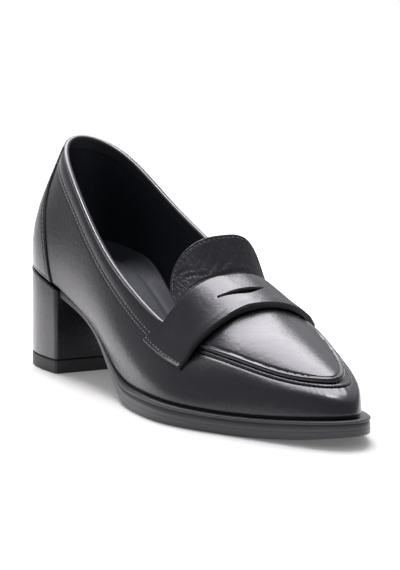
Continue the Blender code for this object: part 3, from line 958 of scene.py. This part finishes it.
def thread(name, colour):
    """Bonded polyester thread: black, with a soft gleam from its twisted strands."""
    material, tree, shader, place = new_material(name)
    twist = mottle(tree, place, STRAND, detail=1.0)[0]
    inputs = {
        "Base Color": toned(tree, twist, colour, high=STRAND_PALE),
        "Roughness": THREAD_ROUGHNESS,
        "Sheen Weight": THREAD_SHEEN,
    }
    feed(tree, shader, inputs)
    return material


def sweep_paper(name, colour, glow):
    """Matt paper over a light table, the studio floor: pale and even, with a trace of fibre."""
    material, tree, shader, place = new_material(name)
    fibre = mottle(tree, place, FIBRE)[0]
    inputs = {
        "Base Color": toned(tree, fibre, colour, low=FIBRE_DARK),
        "Roughness": PAPER_ROUGHNESS,
        "Emission Color": (*colour, 1.0),
        "Emission Strength": glow,
    }
    feed(tree, shader, inputs)
    return material


def calf(context):
    """The upper's leather, made once."""
    colours = context.scene.loafer_colours
    sizes = context.scene.loafer_sizes
    made = bpy.data.materials.get("polished_calf")
    grain = sizes.grain / MM, sizes.grain_depth / MM
    return made or leather("polished_calf", colours.upper, colours.gloss, *grain, coat=0.15)


def dye_for_edges_and_groove_shade():
    """Edge dye brushed on the leather's cut edges, made once: dead black and slightly rough; in the sole's
    groove the same black is painted shade.
    """
    made = bpy.data.materials.get("edge_dye")
    return made or leather("edge_dye", linear("#070708"), roughness=0.62, grain=0.7, depth=0.05, coat=0.0)


# Pieces


def upper_surface():
    """Upper's outside before its relief: points, quads, and for each point its turn, fall and climb.

    Fall is the way down from the top line, and climb the way up from the feather line.
    """
    height = wall_height(TURNS)
    collar_rows = np.repeat(np.array(COLLAR_STEPS)[:, None], AROUND, axis=1)
    foot_rows = height - np.array(FOOT_STEPS)[::-1, None]
    shares = np.linspace(0, 1, WALL_EVEN_ROWS + 2)[1:-1, None]
    even_rows = collar_rows[-1] + (foot_rows[0] - collar_rows[-1]) * shares
    below = np.concatenate([collar_rows, even_rows, foot_rows])[::-1]
    wall = wall_point(TURNS[None, :], 1 - below / height)
    vamp_turns = TURNS[round(THROAT_TURN / (2 * np.pi) * AROUND) : AROUND // 2 + 1]
    across = np.sin(np.linspace(-np.pi / 2, np.pi / 2, VAMP_COLUMNS))
    vamp = vamp_point(vamp_turns[:, None], across[None, :])
    wall_quads = grid(len(below), AROUND, wrap=True)
    vamp_quads = grid(len(vamp_turns), VAMP_COLUMNS, flip=True, start=below.size)
    points = np.concatenate([wall.reshape(-1, 3), vamp.reshape(-1, 3)])
    points, quads, kept = weld(points, np.concatenate([wall_quads, vamp_quads]))
    far = np.full(vamp.size // 3, FAR)
    turn = np.r_[np.repeat(TURNS[None, :], len(below), axis=0).ravel(), 0 * far + np.pi][kept]
    fall = np.r_[below.ravel(), 0 * far][kept]
    climb = np.r_[(height - below).ravel(), far][kept]
    return points, quads, turn, fall, climb


def upper_solid():
    """Hollow upper with rolled collar, stitch grooves, puckers at the toe and a tuck at the feather line.

    Its coverings are 0 calf outside, 1 lining and 2 binding.
    """
    points, quads, turn, fall, climb = upper_surface()
    normals = normals_of(points, quads)
    collar = smooth((THROAT_TURN - folded(turn)) / COLLAR_FADE)
    skirt = (1 - collar) * (climb < FAR)
    seam_run = np.cumsum(np.r_[0, np.linalg.norm(np.diff(top_point(TURNS), axis=0), axis=1)])
    pucker = np.cos(2 * np.pi * np.interp(turn, TURNS, seam_run) / PUCKER_PITCH)
    toe = bell(turn - np.pi, PUCKER_SPREAD)
    swell = collar * relief(COLLAR_LINES, fall) + skirt * relief(SKIRT_LINES, fall)
    swell += skirt * PUCKER_DEPTH * toe * pucker * bell(fall - PUCKER_AT, PUCKER_WIDTH)
    swell -= TUCK_DEPTH * bell(climb, TUCK_WIDTH)
    swell += unevenness(points, UPPER_WAVE) * smooth(climb / WAVE_CLIMB) * smooth(fall / WAVE_FALL)
    edge = WALL_ROLL * WALL * (1 - rounded(fall, WALL / 2)) * collar
    outside = points + normals * (swell - edge)[:, None]
    binding = collar * smooth((BINDING_DEPTH - fall) / BINDING_THICK)
    inside = points + normals * (edge - WALL - BINDING_THICK * binding)[:, None]
    foot = climb < ON_FOOT
    for surface in (inside, outside):
        surface[foot, 2] = points[foot, 2]
    solid = shell(outside, inside, quads)
    covering = np.zeros(len(solid[1]), int)
    covering[len(quads) : 2 * len(quads)] = np.where(binding[quads].mean(axis=1) > 0.5, 2, 1)
    return solid, covering


def apron_solid(radius):
    """Panel of the vamp with its raised rim and the stitch groove inside it, reaching over its outer seam."""
    back = top_turn(APRON_BACK)
    turns = back + (np.pi - APRON_TIP_SHORT - back) * spaced(APRON_LENGTH)[:, None]
    half = np.maximum(top_half(turns), APRON_BLUNT)
    outer, inner = -1 - APRON_OVERHANG / half, 1 - APRON_INSET / half
    across = outer + (inner - outer) * spaced(APRON_BREADTH)[None, :]
    quads = grid(*across.shape, flip=True)
    high = panel(APRON_THICK, APRON_LINES, APRON_WAVE)
    return sheet(vamp_point(turns, across), quads, SKIN_GAP, high, radius)


def bead_solid():
    """Second roll of the seam, on the wall just below the apron."""
    start = top_turn(strap_edges(1.0)[1] - BEAD_TUCK)
    turns = np.linspace(start, 2 * np.pi - start, BEAD_ROWS)
    share = np.linspace(1, 0, BEAD_COLUMNS)
    below = BEAD_BELOW + BEAD_WIDTH * share
    points = wall_point(turns[:, None], 1 - below[None, :] / wall_height(turns)[:, None]).reshape(-1, 3)
    roll = np.sqrt(np.clip(1 - both_ways(share) ** 2, 0, 1))
    gather = 1 + GATHER_DEPTH * np.cos(np.arange(BEAD_ROWS) * 2 * np.pi / GATHER_POINTS)
    heights = BEAD_FOOT + BEAD_HEIGHT * roll[None, :] * gather[:, None]
    quads = grid(BEAD_ROWS, BEAD_COLUMNS, flip=True)
    normals = normals_of(points, quads)
    return shell(points + normals * heights.reshape(-1, 1), points + normals * SKIN_GAP, quads)


def counter_solid(radius):
    """Panel round the back of the heel, with a stitch groove along its front edges."""
    shares = COUNTER[0].share + (COUNTER[-1].share - COUNTER[0].share) * spaced(COUNTER_HEIGHT)
    turns = last_turn(counter_edge(shares))[:, None] * both_ways(spaced(COUNTER_GIRTH))[None, :]
    high = panel(COUNTER_THICK, COUNTER_LINES, COUNTER_WAVE)
    return sheet(wall_point(turns, shares[:, None]), grid(*turns.shape), SKIN_GAP, high, radius)


def strap_edges(reach):
    """x of the strap's rear and front edge, which bow back down the sides."""
    bow = np.clip(np.abs(reach) - STRAP_STRAIGHT, 0, None) ** 2
    return STRAP_REAR - STRAP_REAR_BOW * bow, STRAP_FRONT - STRAP_FRONT_BOW * bow


def strap_end(x, rear):
    """Reach at which the strap ends, further down at its front than at its rear."""
    forward = (x - rear) / (STRAP_FRONT - STRAP_REAR)
    return STRAP_END_REAR + (STRAP_END_FRONT - STRAP_END_REAR) * forward


def strap_lift(points):
    """How far the strap stands off the vamp: fully along its front edge, not at its sewn ends or its rear."""
    x, y, z = points.T
    forward = np.clip((x - STRAP_REAR) / STRAP_RISE, 0, 1)
    seam_z = np.where(y < top_centre(x), top_outer(x), top_inner(x))
    return STRAP_LIFT * forward * smooth((z - seam_z + STRAP_SEWN) / STRAP_SEWN)


def strap_solid(radius):
    """Saddle strap over the vamp, sewn down at both ends, with its eye-shaped slot and a swell beside it."""
    flap = np.unique(np.r_[1 - np.array(EDGE_STEPS) / STRAP_FLAP, FLAP_MIDDLE])
    flap = flap[flap > 0]
    columns = np.r_[-1 - flap[::-1], np.linspace(-1, 1, STRAP_COLUMNS), 1 + flap]
    over = np.clip(columns, -1, 1)
    past = columns - over
    rear, front = strap_edges(over + past * (STRAP_END_REAR - 1))
    half_length = SLOT_HALF_LENGTH / top_half(top_turn(SLOT_AT))
    aside = np.clip((over - SLOT_OFF) / half_length, -1, 1)
    slot = SLOT_AT - SLOT_BOW * aside**2 - (STRAP_REAR - rear)
    eye = SLOT_HALF_WIDTH * (1 - aside**2) ** SLOT_TAPER * (1 + SLOT_LEAN * aside)
    rows = spaced(STRAP_HALF, STRAP_STEP, STRAP_STEPS)[:, None]
    points = []
    quads = []
    for part, (start, end) in enumerate(((rear, slot - eye), (slot + eye, front))):
        x = start + (end - start) * rows
        reach = over + past * (strap_end(x, rear) - 1)
        quads.append(grid(*x.shape, flip=True, start=part * x.size))
        points.append(over_point(x, reach))
    ends = np.concatenate([strap_end_line(sign) for sign in (-1, 1)])

    def low(p):
        return STRAP_FOOT + strap_lift(p)

    def high(p, edge):
        away = distance_to(p, ends)
        swell = STRAP_SWELL * bell(p[:, 1] - top_centre(p[:, 0]) - STRAP_SWELL_AT, STRAP_SWELL_WIDTH)
        free = STRAP_GAP * smooth(away / STRAP_GAP_RUN) + strap_lift(p) + swell
        return free + panel(STRAP_THICK, STRAP_END_LINES, STRAP_WAVE)(p, away)

    return sheet(np.concatenate(points), np.concatenate(quads), low, high, radius)


def strap_end_line(sign, inside=0.0, height=0.0, trim=0.0):
    """Line across a sewn end of the strap, a distance inside its edge, raised off the upper and cut short."""
    rear, front = strap_edges(STRAP_END_REAR)
    x = np.linspace(rear + trim, front - trim, STRAP_END_POINTS)
    end = strap_end(x, rear)
    return set_in(over_point, (x, sign * end), (x, sign * (end - INWARD_STEP)), height, inside)


def tongue_solid(radius):
    """Rounded tab behind the strap, creased where it bends, with a stitch groove along its edge."""
    across = np.sin(both_ways(spaced(TONGUE_BREADTH)) * np.pi / 2)
    up = spaced(TONGUE_HEIGHT, TONGUE_STEP)
    creases = [(crease, tongue_point(*crease_line(crease))) for crease in TONGUE_CREASES]

    def high(p, edge):
        height = panel(0.0, TONGUE_LINES, TONGUE_WAVE)(p, edge)
        for crease, line in creases:
            away = distance_to(p, line)
            height -= crease.depth * bell(away, crease.width)
            height += CREASE_LIP * crease.depth * bell(away - 2 * crease.width, crease.width)
        return height

    quads = grid(len(up), len(across))
    return sheet(tongue_point(across[None, :], up[:, None]), quads, -TONGUE_THICK, high, radius)


def crease_line(crease):
    """Places along a crease of the tongue, slightly bowed."""
    t = np.linspace(0, 1, CREASE_POINTS)
    across = crease.across + (crease.to_across - crease.across) * t + CREASE_BOW * np.sin(np.pi * t)
    return across, crease.up + (crease.to_up - crease.up) * t


def sole_top(x):
    """Height of the sole and the heel under the upper."""
    return feather_height(x) - SEAM_GAP


def sole_bottom(x):
    """Underside of the sole: level tread, toe spring ahead of it, and the waist rising behind it."""
    tread = sole_top(TREAD_BACK)
    ahead = np.clip(x - TREAD_FRONT, 0, None) / (LAST_TOE - TREAD_FRONT)
    thinned = smooth((TREAD_BACK - x) / (TREAD_BACK - WAIST_FULL_AT))
    waist = np.maximum(0, sole_top(x) - tread - (WAIST_THICK - tread) * thinned)
    return np.where(x < TREAD_BACK, waist, TOE_SPRING * ahead**SPRING_POWER)


def sole_solid():
    """Forefoot slab with lip, groove and ribs, thin waist and toe spring, ending at the heel's breast; the
    groove's faces carry painted shade.
    """
    heel = heel_outline()
    starts = [last_turn(heel[k, 0] + SEAM_GAP) for k in (0, -1)]
    outer, inner = (np.linspace(start, np.pi, SOLE_POINTS) for start in starts)
    turns = np.r_[outer, 2 * np.pi - inner[-2::-1]]
    x = plan_point(turns)[:, 0]
    thick = sole_top(x) - sole_bottom(x)
    fine = np.clip((thick - WAIST_THICK) / (sole_top(TREAD_BACK) - WAIST_THICK), WAIST_RELIEF, 1)
    plans = [plan_offset(turns, sole_out(x) - row.draw_in * fine) for row in SOLE_EDGE]
    solid = stacked(plans, [sole_top(x) - row.share * thick for row in SOLE_EDGE])
    shares = np.array([row.share for row in SOLE_EDGE])
    # Faces in the groove take the black edge dye: painted shade in the recess
    painted_groove_shade = (shares[:-1] >= GROOVE_TOP) & (shares[1:] <= GROOVE_BOTTOM)
    groove = np.zeros(len(solid[1]), int)
    groove[: len(turns) * len(painted_groove_shade)] = np.repeat(painted_groove_shade, len(turns))
    return solid, groove


def heel_outline():
    """Plan of the heel: round at the back, square at the breast, its two corners eased."""
    first = last_turn(BREAST_X - BREAST_CORNER)
    curve = plan_offset(np.linspace(first, -first, HEEL_POINTS), HEEL_FLUSH)
    skew = BREAST_SKEW * (curve[-1, 1] - curve[0, 1])
    outer = np.array([BREAST_X, curve[0, 1]])
    inner = np.array([BREAST_X + skew, curve[-1, 1]])
    middle = (outer + inner) / 2
    start = eased(outer + (middle - outer) * BREAST_EASE, outer, curve[0])
    end = eased(curve[-1], inner, inner + (middle - inner) * BREAST_EASE)
    return np.concatenate([start[:-1], curve, end[1:]])


def eased(before, corner, after):
    """Small bend from one point to another in place of a corner."""
    t = np.linspace(0, 1, CORNER_POINTS)[:, None]
    return (1 - t) ** 2 * before + 2 * (1 - t) * t * corner + t**2 * after


def heel_solid(bottom, top, bevel):
    """Upright block on the heel's outline with eased edges, from a level bottom to a top given for each x."""
    outline = heel_outline()
    inwards = unit(outline.mean(axis=0) - outline)
    crown = top(outline[:, 0])
    steps = bevel * np.array(BEVEL_STEPS)
    plans = [outline + inwards * step for step in steps]
    heights = [crown - drop for drop in steps[::-1]] + [bottom + drop for drop in steps]
    return stacked(plans + plans[::-1], heights)


def sock_solid(radius):
    """Sock on the insole, padded and cupped at the heel, with a line inside its edge."""
    turns = np.pi * SOCK_FRONT * spaced(SOCK_LENGTH, SOCK_STEP)[1:]
    outer, inner = (plan_offset(sign * turns, -INSOLE_INSET)[:, None] for sign in (1, -1))
    across = both_ways(spaced(SOCK_BREADTH, SOCK_STEP))
    plan = (outer + inner) / 2 + (inner - outer) / 2 * across[None, :, None]
    x = plan_point(turns)[:, 0]
    pad = SOCK_PAD * bell(x - SOCK_PAD_AT, SOCK_PAD_WIDTH)
    curl = SOCK_CURL + SOCK_CUP * smooth((SOCK_CUP_END - x) / SOCK_CUP_RUN)
    level = (feather_height(x) + pad)[:, None] + INSOLE_THICK + curl[:, None] * across**SOCK_CUP_POWER
    quads = grid(len(turns), len(across), flip=True)
    high = panel(0.0, SOCK_LINES, SOCK_WAVE)
    return sheet(raised(plan, level), quads, -INSOLE_THICK, high, radius)


# Stitches


def stitch_tree(material):
    """Node tree that sets stitches along the edges of a mesh: each a slim spindle laid along the line."""
    tree = bpy.data.node_groups.new("stitch_row", "GeometryNodeTree")
    sockets = {}
    for name, kind in (("Lines", "Geometry"), ("Pitch", "Float"), ("Length", "Float"), ("Width", "Float")):
        socket = tree.interface.new_socket(name, in_out="INPUT", socket_type="NodeSocket" + kind)
        sockets[name] = socket.identifier
    tree.interface.new_socket("Stitches", in_out="OUTPUT", socket_type="NodeSocketGeometry")
    given = add_node(tree, "NodeGroupInput")

    def step(kind, settings=None, **inputs):
        return add_node(tree, kind, settings, inputs)[0]

    curve = step("GeometryNodeMeshToCurve", Mesh=given["Lines"])
    row = step("GeometryNodeResampleCurve", {"mode": "LENGTH"}, Curve=curve, Length=given["Pitch"])
    size = {"Segments": SPINDLE_SIDES, "Rings": SPINDLE_RINGS, "Radius": SPINDLE_RADIUS}
    ball = step("GeometryNodeMeshUVSphere", **size)
    slim = step("ShaderNodeCombineXYZ", X=given["Width"], Y=given["Width"], Z=given["Length"])
    spindle = step("GeometryNodeTransform", Geometry=ball, Scale=slim)
    tangent = step("GeometryNodeInputTangent")
    lay = step("FunctionNodeAlignRotationToVector", {"axis": "Z"}, Vector=tangent)
    placed = step("GeometryNodeInstanceOnPoints", Points=row, Instance=spindle, Rotation=lay)
    real = step("GeometryNodeRealizeInstances", Geometry=placed)
    soft = step("GeometryNodeSetShadeSmooth", Geometry=real)
    dressed = step("GeometryNodeSetMaterial", Geometry=soft, Material=material)
    add_node(tree, "NodeGroupOutput", inputs={0: dressed})
    return tree, sockets


def sew(context, name, lines, tree, sockets):
    """Stitches along several lines, as one plain mesh riding the shoe."""
    sizes = context.scene.loafer_sizes
    points = (np.concatenate(lines) - SHIFT) * MM
    starts = np.cumsum([0] + [len(line) for line in lines[:-1]]).tolist()
    edges = [(s + k, s + k + 1) for s, line in zip(starts, lines) for k in range(len(line) - 1)]
    mesh = bpy.data.meshes.new(name + "_lines")
    mesh.from_pydata(points.tolist(), edges, [])
    guide = put_in_scene(name + "_lines", mesh)
    modifier = guide.modifiers.new("Stitches", "NODES")
    modifier.node_group = tree
    modifier[sockets["Pitch"]] = sizes.stitch_pitch
    modifier[sockets["Length"]] = sizes.stitch_length
    modifier[sockets["Width"]] = sizes.thread_width
    evaluated = guide.evaluated_get(context.evaluated_depsgraph_get())
    row = bpy.data.meshes.new_from_object(evaluated)
    row.name = name
    bpy.data.objects.remove(guide)
    put_on_shoe(name, row)


def collar_lines():
    """Two rows along the collar, from the strap round the back of the heel to the strap."""
    end = top_turn(STRAP_REAR - STRAP_SEWN)
    turns = np.linspace(-end, end, COLLAR_ROW_POINTS)
    height = wall_height(turns)
    grooves = [line.at for line in COLLAR_LINES if line.depth < 0][1:]
    return [lifted(wall_point, turns, 1 - at / height, -THREAD_SUNK) for at in grooves]


def counter_lines():
    """A row along each front edge of the counter."""
    ends = COUNTER[0].share + COUNTER_ROW_SHORT, COUNTER[-1].share - COUNTER_ROW_SHORT
    shares = np.linspace(*ends, COUNTER_ROW_POINTS)
    turns = last_turn(counter_edge(shares))
    height = COUNTER_THICK - THREAD_SUNK
    lines = []
    for sign in (-1, 1):
        further_in = sign * (turns - INWARD_STEP), shares
        lines.append(set_in(wall_point, (sign * turns, shares), further_in, height, COUNTER_LINES[0].at))
    return lines


def strap_lines():
    """A row across each sewn end of the strap."""
    grooves = [line.at for line in STRAP_END_LINES if line.depth < 0]
    height = STRAP_THICK - THREAD_SUNK
    return [strap_end_line(sign, at, height, STRAP_TRIM) for sign in (-1, 1) for at in grooves]


def tongue_lines():
    """A row along the tongue's rounded edge."""
    across = np.sin(np.linspace(*TONGUE_ROW, TONGUE_ROW_POINTS))
    edge = across, np.ones(TONGUE_ROW_POINTS)
    further_in = [measure * (1 - INWARD_STEP) for measure in edge]
    return [set_in(tongue_point, edge, further_in, -THREAD_SUNK, TONGUE_LINES[0].at)]


# Add-on


def number(name, description, default, **more):
    """A number that a user may change."""
    return FloatProperty(name=name, description=description, default=default, **more)


def length(name, description, default):
    """A length in metres that a user may change."""
    return number(name, description, default, unit="LENGTH", precision=6)


def colour(name, description, code):
    """A colour that a user may change."""
    return FloatVectorProperty(name=name, description=description, default=linear(code), subtype="COLOR")


class LoaferSizes(PropertyGroup):
    """Sizes of the finish that a user may change."""

    edge_round: length("Edge rounding", "Rounding of the leather's cut edges", 0.0009)
    grain: length("Grain", "Width of one cell of the leather's grain", 0.0011)
    grain_depth: length("Grain depth", "Depth of the leather's grain", 0.000024)
    stitch_pitch: length("Stitch pitch", "From one stitch to the next", 0.0022)
    stitch_length: length("Stitch length", "Length of one stitch", 0.0017)
    thread_width: length("Thread width", "Width of the thread", 0.00042)
    heel_bevel: length("Heel bevel", "Easing of the heel's edges", 0.0006)


class LoaferColours(PropertyGroup):
    """Colours and gloss of the finish."""

    upper: colour("Upper", "Polished calf of the upper", "#0f0f12")
    lining: colour("Lining", "Leather inside the shoe", "#1c2229")
    # Binding: paler than the calf as painted reflection of the room
    binding: colour("Binding", "Leather turned in at the collar", "#26272b")
    sock: colour("Sock", "Leather on the insole", "#3c3f46")
    sole: colour("Sole", "Dressed edge of the sole", "#37373b")
    lift: colour("Top lift", "Rubber under the heel", "#1f1f21")
    thread: colour("Thread", "Thread of the stitches", "#4c4c50")
    floor: colour("Floor", "Seamless paper", "#ecebe9")
    gloss: number("Upper roughness", "Roughness of the polished calf", 0.26, subtype="FACTOR")


class LoaferStage(PropertyGroup):
    """Light and camera."""

    key: number("Key light", "Strength of the overhead light", 2.3)
    key_spread: number("Key spread", "Apparent size of the overhead light", math.radians(40), unit="ROTATION")
    window: number("Window", "Brightness of the room on the camera's left", 0.52)
    room: number("Room", "Brightness of the room on the other side", 0.43)
    glow: number("Light table", "Brightness of the light under the floor's paper", 0.13)
    fill: number("Fill light", "Strength of the broad light on the inner side", 0.42)
    fill_spread: number("Fill spread", "Apparent size of the broad light", math.radians(75), unit="ROTATION")
    floor_lamp: number("Floor lamp", "Lamp aimed at the floor behind the heel", 105.0, unit="POWER")
    enlarge: number("Enlarge", "Size of the shoe against the photograph", 1.9)


def edge_radius(context):
    """Rounding of the leather's cut edges in millimetres."""
    return context.scene.loafer_sizes.edge_round / MM


class LOAFER_OT_upper(Operator):
    """Upper with its lining"""

    bl_idname = "loafer.upper"
    bl_label = "Upper"

    def execute(self, context):
        colours = context.scene.loafer_colours
        soft = {"roughness": 0.6, "grain": 1.0, "depth": 0.03, "coat": 0.0}
        lining = leather("lining_leather", colours.lining, **soft)
        # The binding's paler colour is painted reflection
        binding = leather("binding_leather", colours.binding, **soft)
        solid, covering = upper_solid()
        make_piece("upper_leather", solid, [calf(context), lining, binding], ["upper"], covering)
        return {"FINISHED"}


class LOAFER_OT_apron(Operator):
    """Apron and the second roll of its seam"""

    bl_idname = "loafer.apron"
    bl_label = "Apron and seam"

    def execute(self, context):
        apron, _ = apron_solid(edge_radius(context))
        make_piece("apron_leather", apron, [calf(context)], ["apron"])
        make_piece("seam_roll", bead_solid(), [calf(context)], ["seam_bead"])
        return {"FINISHED"}


class LOAFER_OT_counter(Operator):
    """Counter round the heel"""

    bl_idname = "loafer.counter"
    bl_label = "Counter"

    def execute(self, context):
        counter, cut = counter_solid(edge_radius(context))
        make_piece("counter_leather", counter, [calf(context), dye_for_edges_and_groove_shade()], ["counter"], cut)
        return {"FINISHED"}


class LOAFER_OT_strap(Operator):
    """Saddle strap with its slot"""

    bl_idname = "loafer.strap"
    bl_label = "Strap"

    def execute(self, context):
        strap, cut = strap_solid(edge_radius(context))
        make_piece("strap_leather", strap, [calf(context), dye_for_edges_and_groove_shade()], ["strap"], cut)
        return {"FINISHED"}


class LOAFER_OT_tongue(Operator):
    """Tongue behind the strap"""

    bl_idname = "loafer.tongue"
    bl_label = "Tongue"

    def execute(self, context):
        tongue, cut = tongue_solid(edge_radius(context))
        creased = wrinkled("creased_calf", context.scene.loafer_colours.upper, roughness=0.48)
        make_piece("tongue_leather", tongue, [creased, dye_for_edges_and_groove_shade()], ["tongue"], cut)
        return {"FINISHED"}


class LOAFER_OT_sole(Operator):
    """Sole, heel and top lift"""

    bl_idname = "loafer.sole"
    bl_label = "Sole and heel"

    def execute(self, context):
        colours = context.scene.loafer_colours
        bevel = context.scene.loafer_sizes.heel_bevel / MM
        sole = dressed_sole("dressed_sole_edge", colours.sole, roughness=0.34, streak=3.0, depth=0.05)
        rubber = dressed_sole("top_lift_rubber", colours.lift, roughness=0.55, streak=1.2, depth=0.06)
        slab, groove = sole_solid()
        # Its groove takes the black edge dye as painted shade
        make_piece("sole_slab", slab, [sole, dye_for_edges_and_groove_shade()], ["outsole"], groove)
        block = heel_solid(LIFT_HEIGHT, sole_top, bevel)
        make_piece("heel_cover", block, [calf(context)], ["heel_block"])
        lift = heel_solid(0.0, lambda x: np.full(len(x), LIFT_HEIGHT - SEAM_GAP), bevel)
        make_piece("heel_lift", lift, [rubber], ["top_lift"])
        return {"FINISHED"}


class LOAFER_OT_sock(Operator):
    """Sock on the insole"""

    bl_idname = "loafer.sock"
    bl_label = "Sock"

    def execute(self, context):
        colours = context.scene.loafer_colours
        soft = leather("sock_leather", colours.sock, roughness=0.62, grain=1.1, depth=0.05, coat=0.0)
        sock, _ = sock_solid(edge_radius(context))
        make_piece("sock", sock, [soft], ["insole"])
        return {"FINISHED"}


class LOAFER_OT_stitches(Operator):
    """Stitches of collar, counter, strap and tongue"""

    bl_idname = "loafer.stitches"
    bl_label = "Stitches"

    def execute(self, context):
        tree, sockets = stitch_tree(thread("black_thread", context.scene.loafer_colours.thread))
        sew(context, "collar_stitches", collar_lines(), tree, sockets)
        sew(context, "counter_stitches", counter_lines(), tree, sockets)
        sew(context, "strap_stitches", strap_lines(), tree, sockets)
        sew(context, "tongue_stitches", tongue_lines(), tree, sockets)
        return {"FINISHED"}


# Camera of the photograph: its place in the shoe's measure, its focal length and centre in the photograph's
# pixels, and the pixel at the middle of the shoe
CAMERA_AT = (1225.8, -657.4, 258.3)
CAMERA_TURN = math.radians(58.0)
CAMERA_TILT = math.radians(7.38)
PHOTO_FOCUS = 1590.0
PHOTO_HEIGHT = 570.0
PHOTO_CENTRE = (200.0, 285.0)
SHOE_CENTRE = (166.0, 337.0)
SENSOR = 36.0

# Floor, lamps and room: places in metres in the frame's measure, and directions out to the lights
FLOOR_HALF = 9.0
KEY_FROM = (-0.551, 0.228, 0.803)
FILL_FROM = (-0.43, 0.42, 0.80)
FLOOR_LAMP_AT = (-0.37, 0.14, 1.25)
FLOOR_LAMP_AIM = (-0.35, 0.13, 0.0)
FLOOR_LAMP_CONE = math.radians(34)
FLOOR_LAMP_BLEND = 0.5
FLOOR_LAMP_SIZE = 0.30
LAMP_TINT = (0.985, 0.975, 1.0)
WINDOW_WAY = (-0.293, -0.956, 0.0)
WINDOW_EDGE = 0.55
ROOM_TINT = (0.95, 0.94, 1.0, 1.0)


class LOAFER_OT_stage(Operator):
    """Floor, light and camera"""

    bl_idname = "loafer.stage"
    bl_label = "Stage"

    def execute(self, context):
        scene = context.scene
        stage = scene.loafer_stage
        corners = [(x * FLOOR_HALF, y * FLOOR_HALF, 0.0) for x, y in ((-1, -1), (1, -1), (1, 1), (-1, 1))]
        mesh = bpy.data.meshes.new("studio_floor")
        mesh.from_pydata(corners, [], [(0, 1, 2, 3)])
        mesh.materials.append(sweep_paper("seamless_paper", scene.loafer_colours.floor, stage.glow))
        floor = put_in_scene("studio_floor", mesh)
        self.light(scene, stage)
        self.camera(scene, stage)
        return {"FINISHED"}

    def light(self, scene, stage):
        """A soft light from above and behind, a broader one beside it, a lamp on the floor, a pale room."""
        key = self.lamp("overhead_light", "SUN", stage.key, Vector(KEY_FROM))
        key.data.angle = stage.key_spread
        fill = self.lamp("fill_light", "SUN", stage.fill, Vector(FILL_FROM))
        fill.data.angle = stage.fill_spread
        out_of = Vector(FLOOR_LAMP_AT) - Vector(FLOOR_LAMP_AIM)
        spot = self.lamp("floor_lamp", "SPOT", stage.floor_lamp, out_of)
        spot.location = FLOOR_LAMP_AT
        spot.data.spot_size = FLOOR_LAMP_CONE
        spot.data.spot_blend = FLOOR_LAMP_BLEND
        spot.data.shadow_soft_size = FLOOR_LAMP_SIZE
        world = bpy.data.worlds.new("pale_room")
        world.use_nodes = True
        tree = world.node_tree
        way = add_node(tree, "ShaderNodeTexCoord")["Generated"]
        facing = add_node(tree, "ShaderNodeVectorMath", {"operation": "DOT_PRODUCT"}, {0: way, 1: WINDOW_WAY})
        room = {
            "Value": facing["Value"],
            "From Min": WINDOW_EDGE,
            "To Min": stage.room,
            "To Max": stage.window,
        }
        strength = add_node(tree, "ShaderNodeMapRange", {"interpolation_type": "SMOOTHSTEP"}, room)[0]
        feed(tree, tree.nodes["Background"], {"Strength": strength, "Color": ROOM_TINT})
        scene.world = world
        scene.view_settings.view_transform = "Standard"

    def lamp(self, name, kind, strength, out_of):
        """A lamp that shines from a direction."""
        data = bpy.data.lights.new(name, kind)
        data.energy = strength
        data.color = LAMP_TINT
        lamp = put_in_scene(name, data)
        lamp.rotation_euler = out_of.to_track_quat("Z", "Y").to_euler()
        return lamp

    def camera(self, scene, stage):
        """The photograph's point of view, aimed at the middle of this one shoe."""
        level = Vector((math.sin(CAMERA_TURN), -math.cos(CAMERA_TURN), 0.0))
        back = level * math.cos(CAMERA_TILT) + Vector((0.0, 0.0, math.sin(CAMERA_TILT)))
        right = Vector((math.cos(CAMERA_TURN), math.sin(CAMERA_TURN), 0.0))
        up = back.cross(right)
        aside = (SHOE_CENTRE[0] - PHOTO_CENTRE[0]) / PHOTO_FOCUS
        above = (PHOTO_CENTRE[1] - SHOE_CENTRE[1]) / PHOTO_FOCUS
        data = bpy.data.cameras.new("photo_camera")
        data.sensor_fit = "VERTICAL"
        data.sensor_height = SENSOR
        data.lens = PHOTO_FOCUS * stage.enlarge / PHOTO_HEIGHT * SENSOR
        camera = put_in_scene("photo_camera", data)
        camera.location = (Vector(CAMERA_AT) - Vector(SHIFT)) * MM
        camera.rotation_euler = (back - right * aside - up * above).to_track_quat("Z", "Y").to_euler()
        scene.camera = camera


GROUPS = (("loafer_sizes", LoaferSizes), ("loafer_colours", LoaferColours), ("loafer_stage", LoaferStage))
PIECES = (
    LOAFER_OT_upper,
    LOAFER_OT_apron,
    LOAFER_OT_counter,
    LOAFER_OT_strap,
    LOAFER_OT_tongue,
    LOAFER_OT_sole,
    LOAFER_OT_sock,
    LOAFER_OT_stitches,
    LOAFER_OT_stage,
)


class LOAFER_PT_panel(Panel):
    """Lists the pieces of the loafer"""

    bl_idname = "LOAFER_PT_panel"
    bl_label = "Heeled penny loafer"
    bl_space_type = "VIEW_3D"
    bl_region_type = "UI"
    bl_category = "Loafer"

    def draw(self, context):
        for group, _ in GROUPS:
            settings = getattr(context.scene, group)
            for name in settings.__annotations__:
                self.layout.prop(settings, name)
        for piece in PIECES:
            self.layout.operator(piece.bl_idname)


def register():
    for name, group in GROUPS:
        bpy.utils.register_class(group)
        setattr(bpy.types.Scene, name, PointerProperty(type=group))
    for kind in (*PIECES, LOAFER_PT_panel):
        bpy.utils.register_class(kind)


def unregister():
    for kind in (LOAFER_PT_panel, *reversed(PIECES)):
        bpy.utils.unregister_class(kind)
    for name, group in reversed(GROUPS):
        delattr(bpy.types.Scene, name)
        bpy.utils.unregister_class(group)


def main():
    """Builds every piece and the stage."""
    register()
    for piece in PIECES:
        getattr(bpy.ops.loafer, piece.bl_idname.split(".")[1])()


if __name__ == "__main__":
    main()
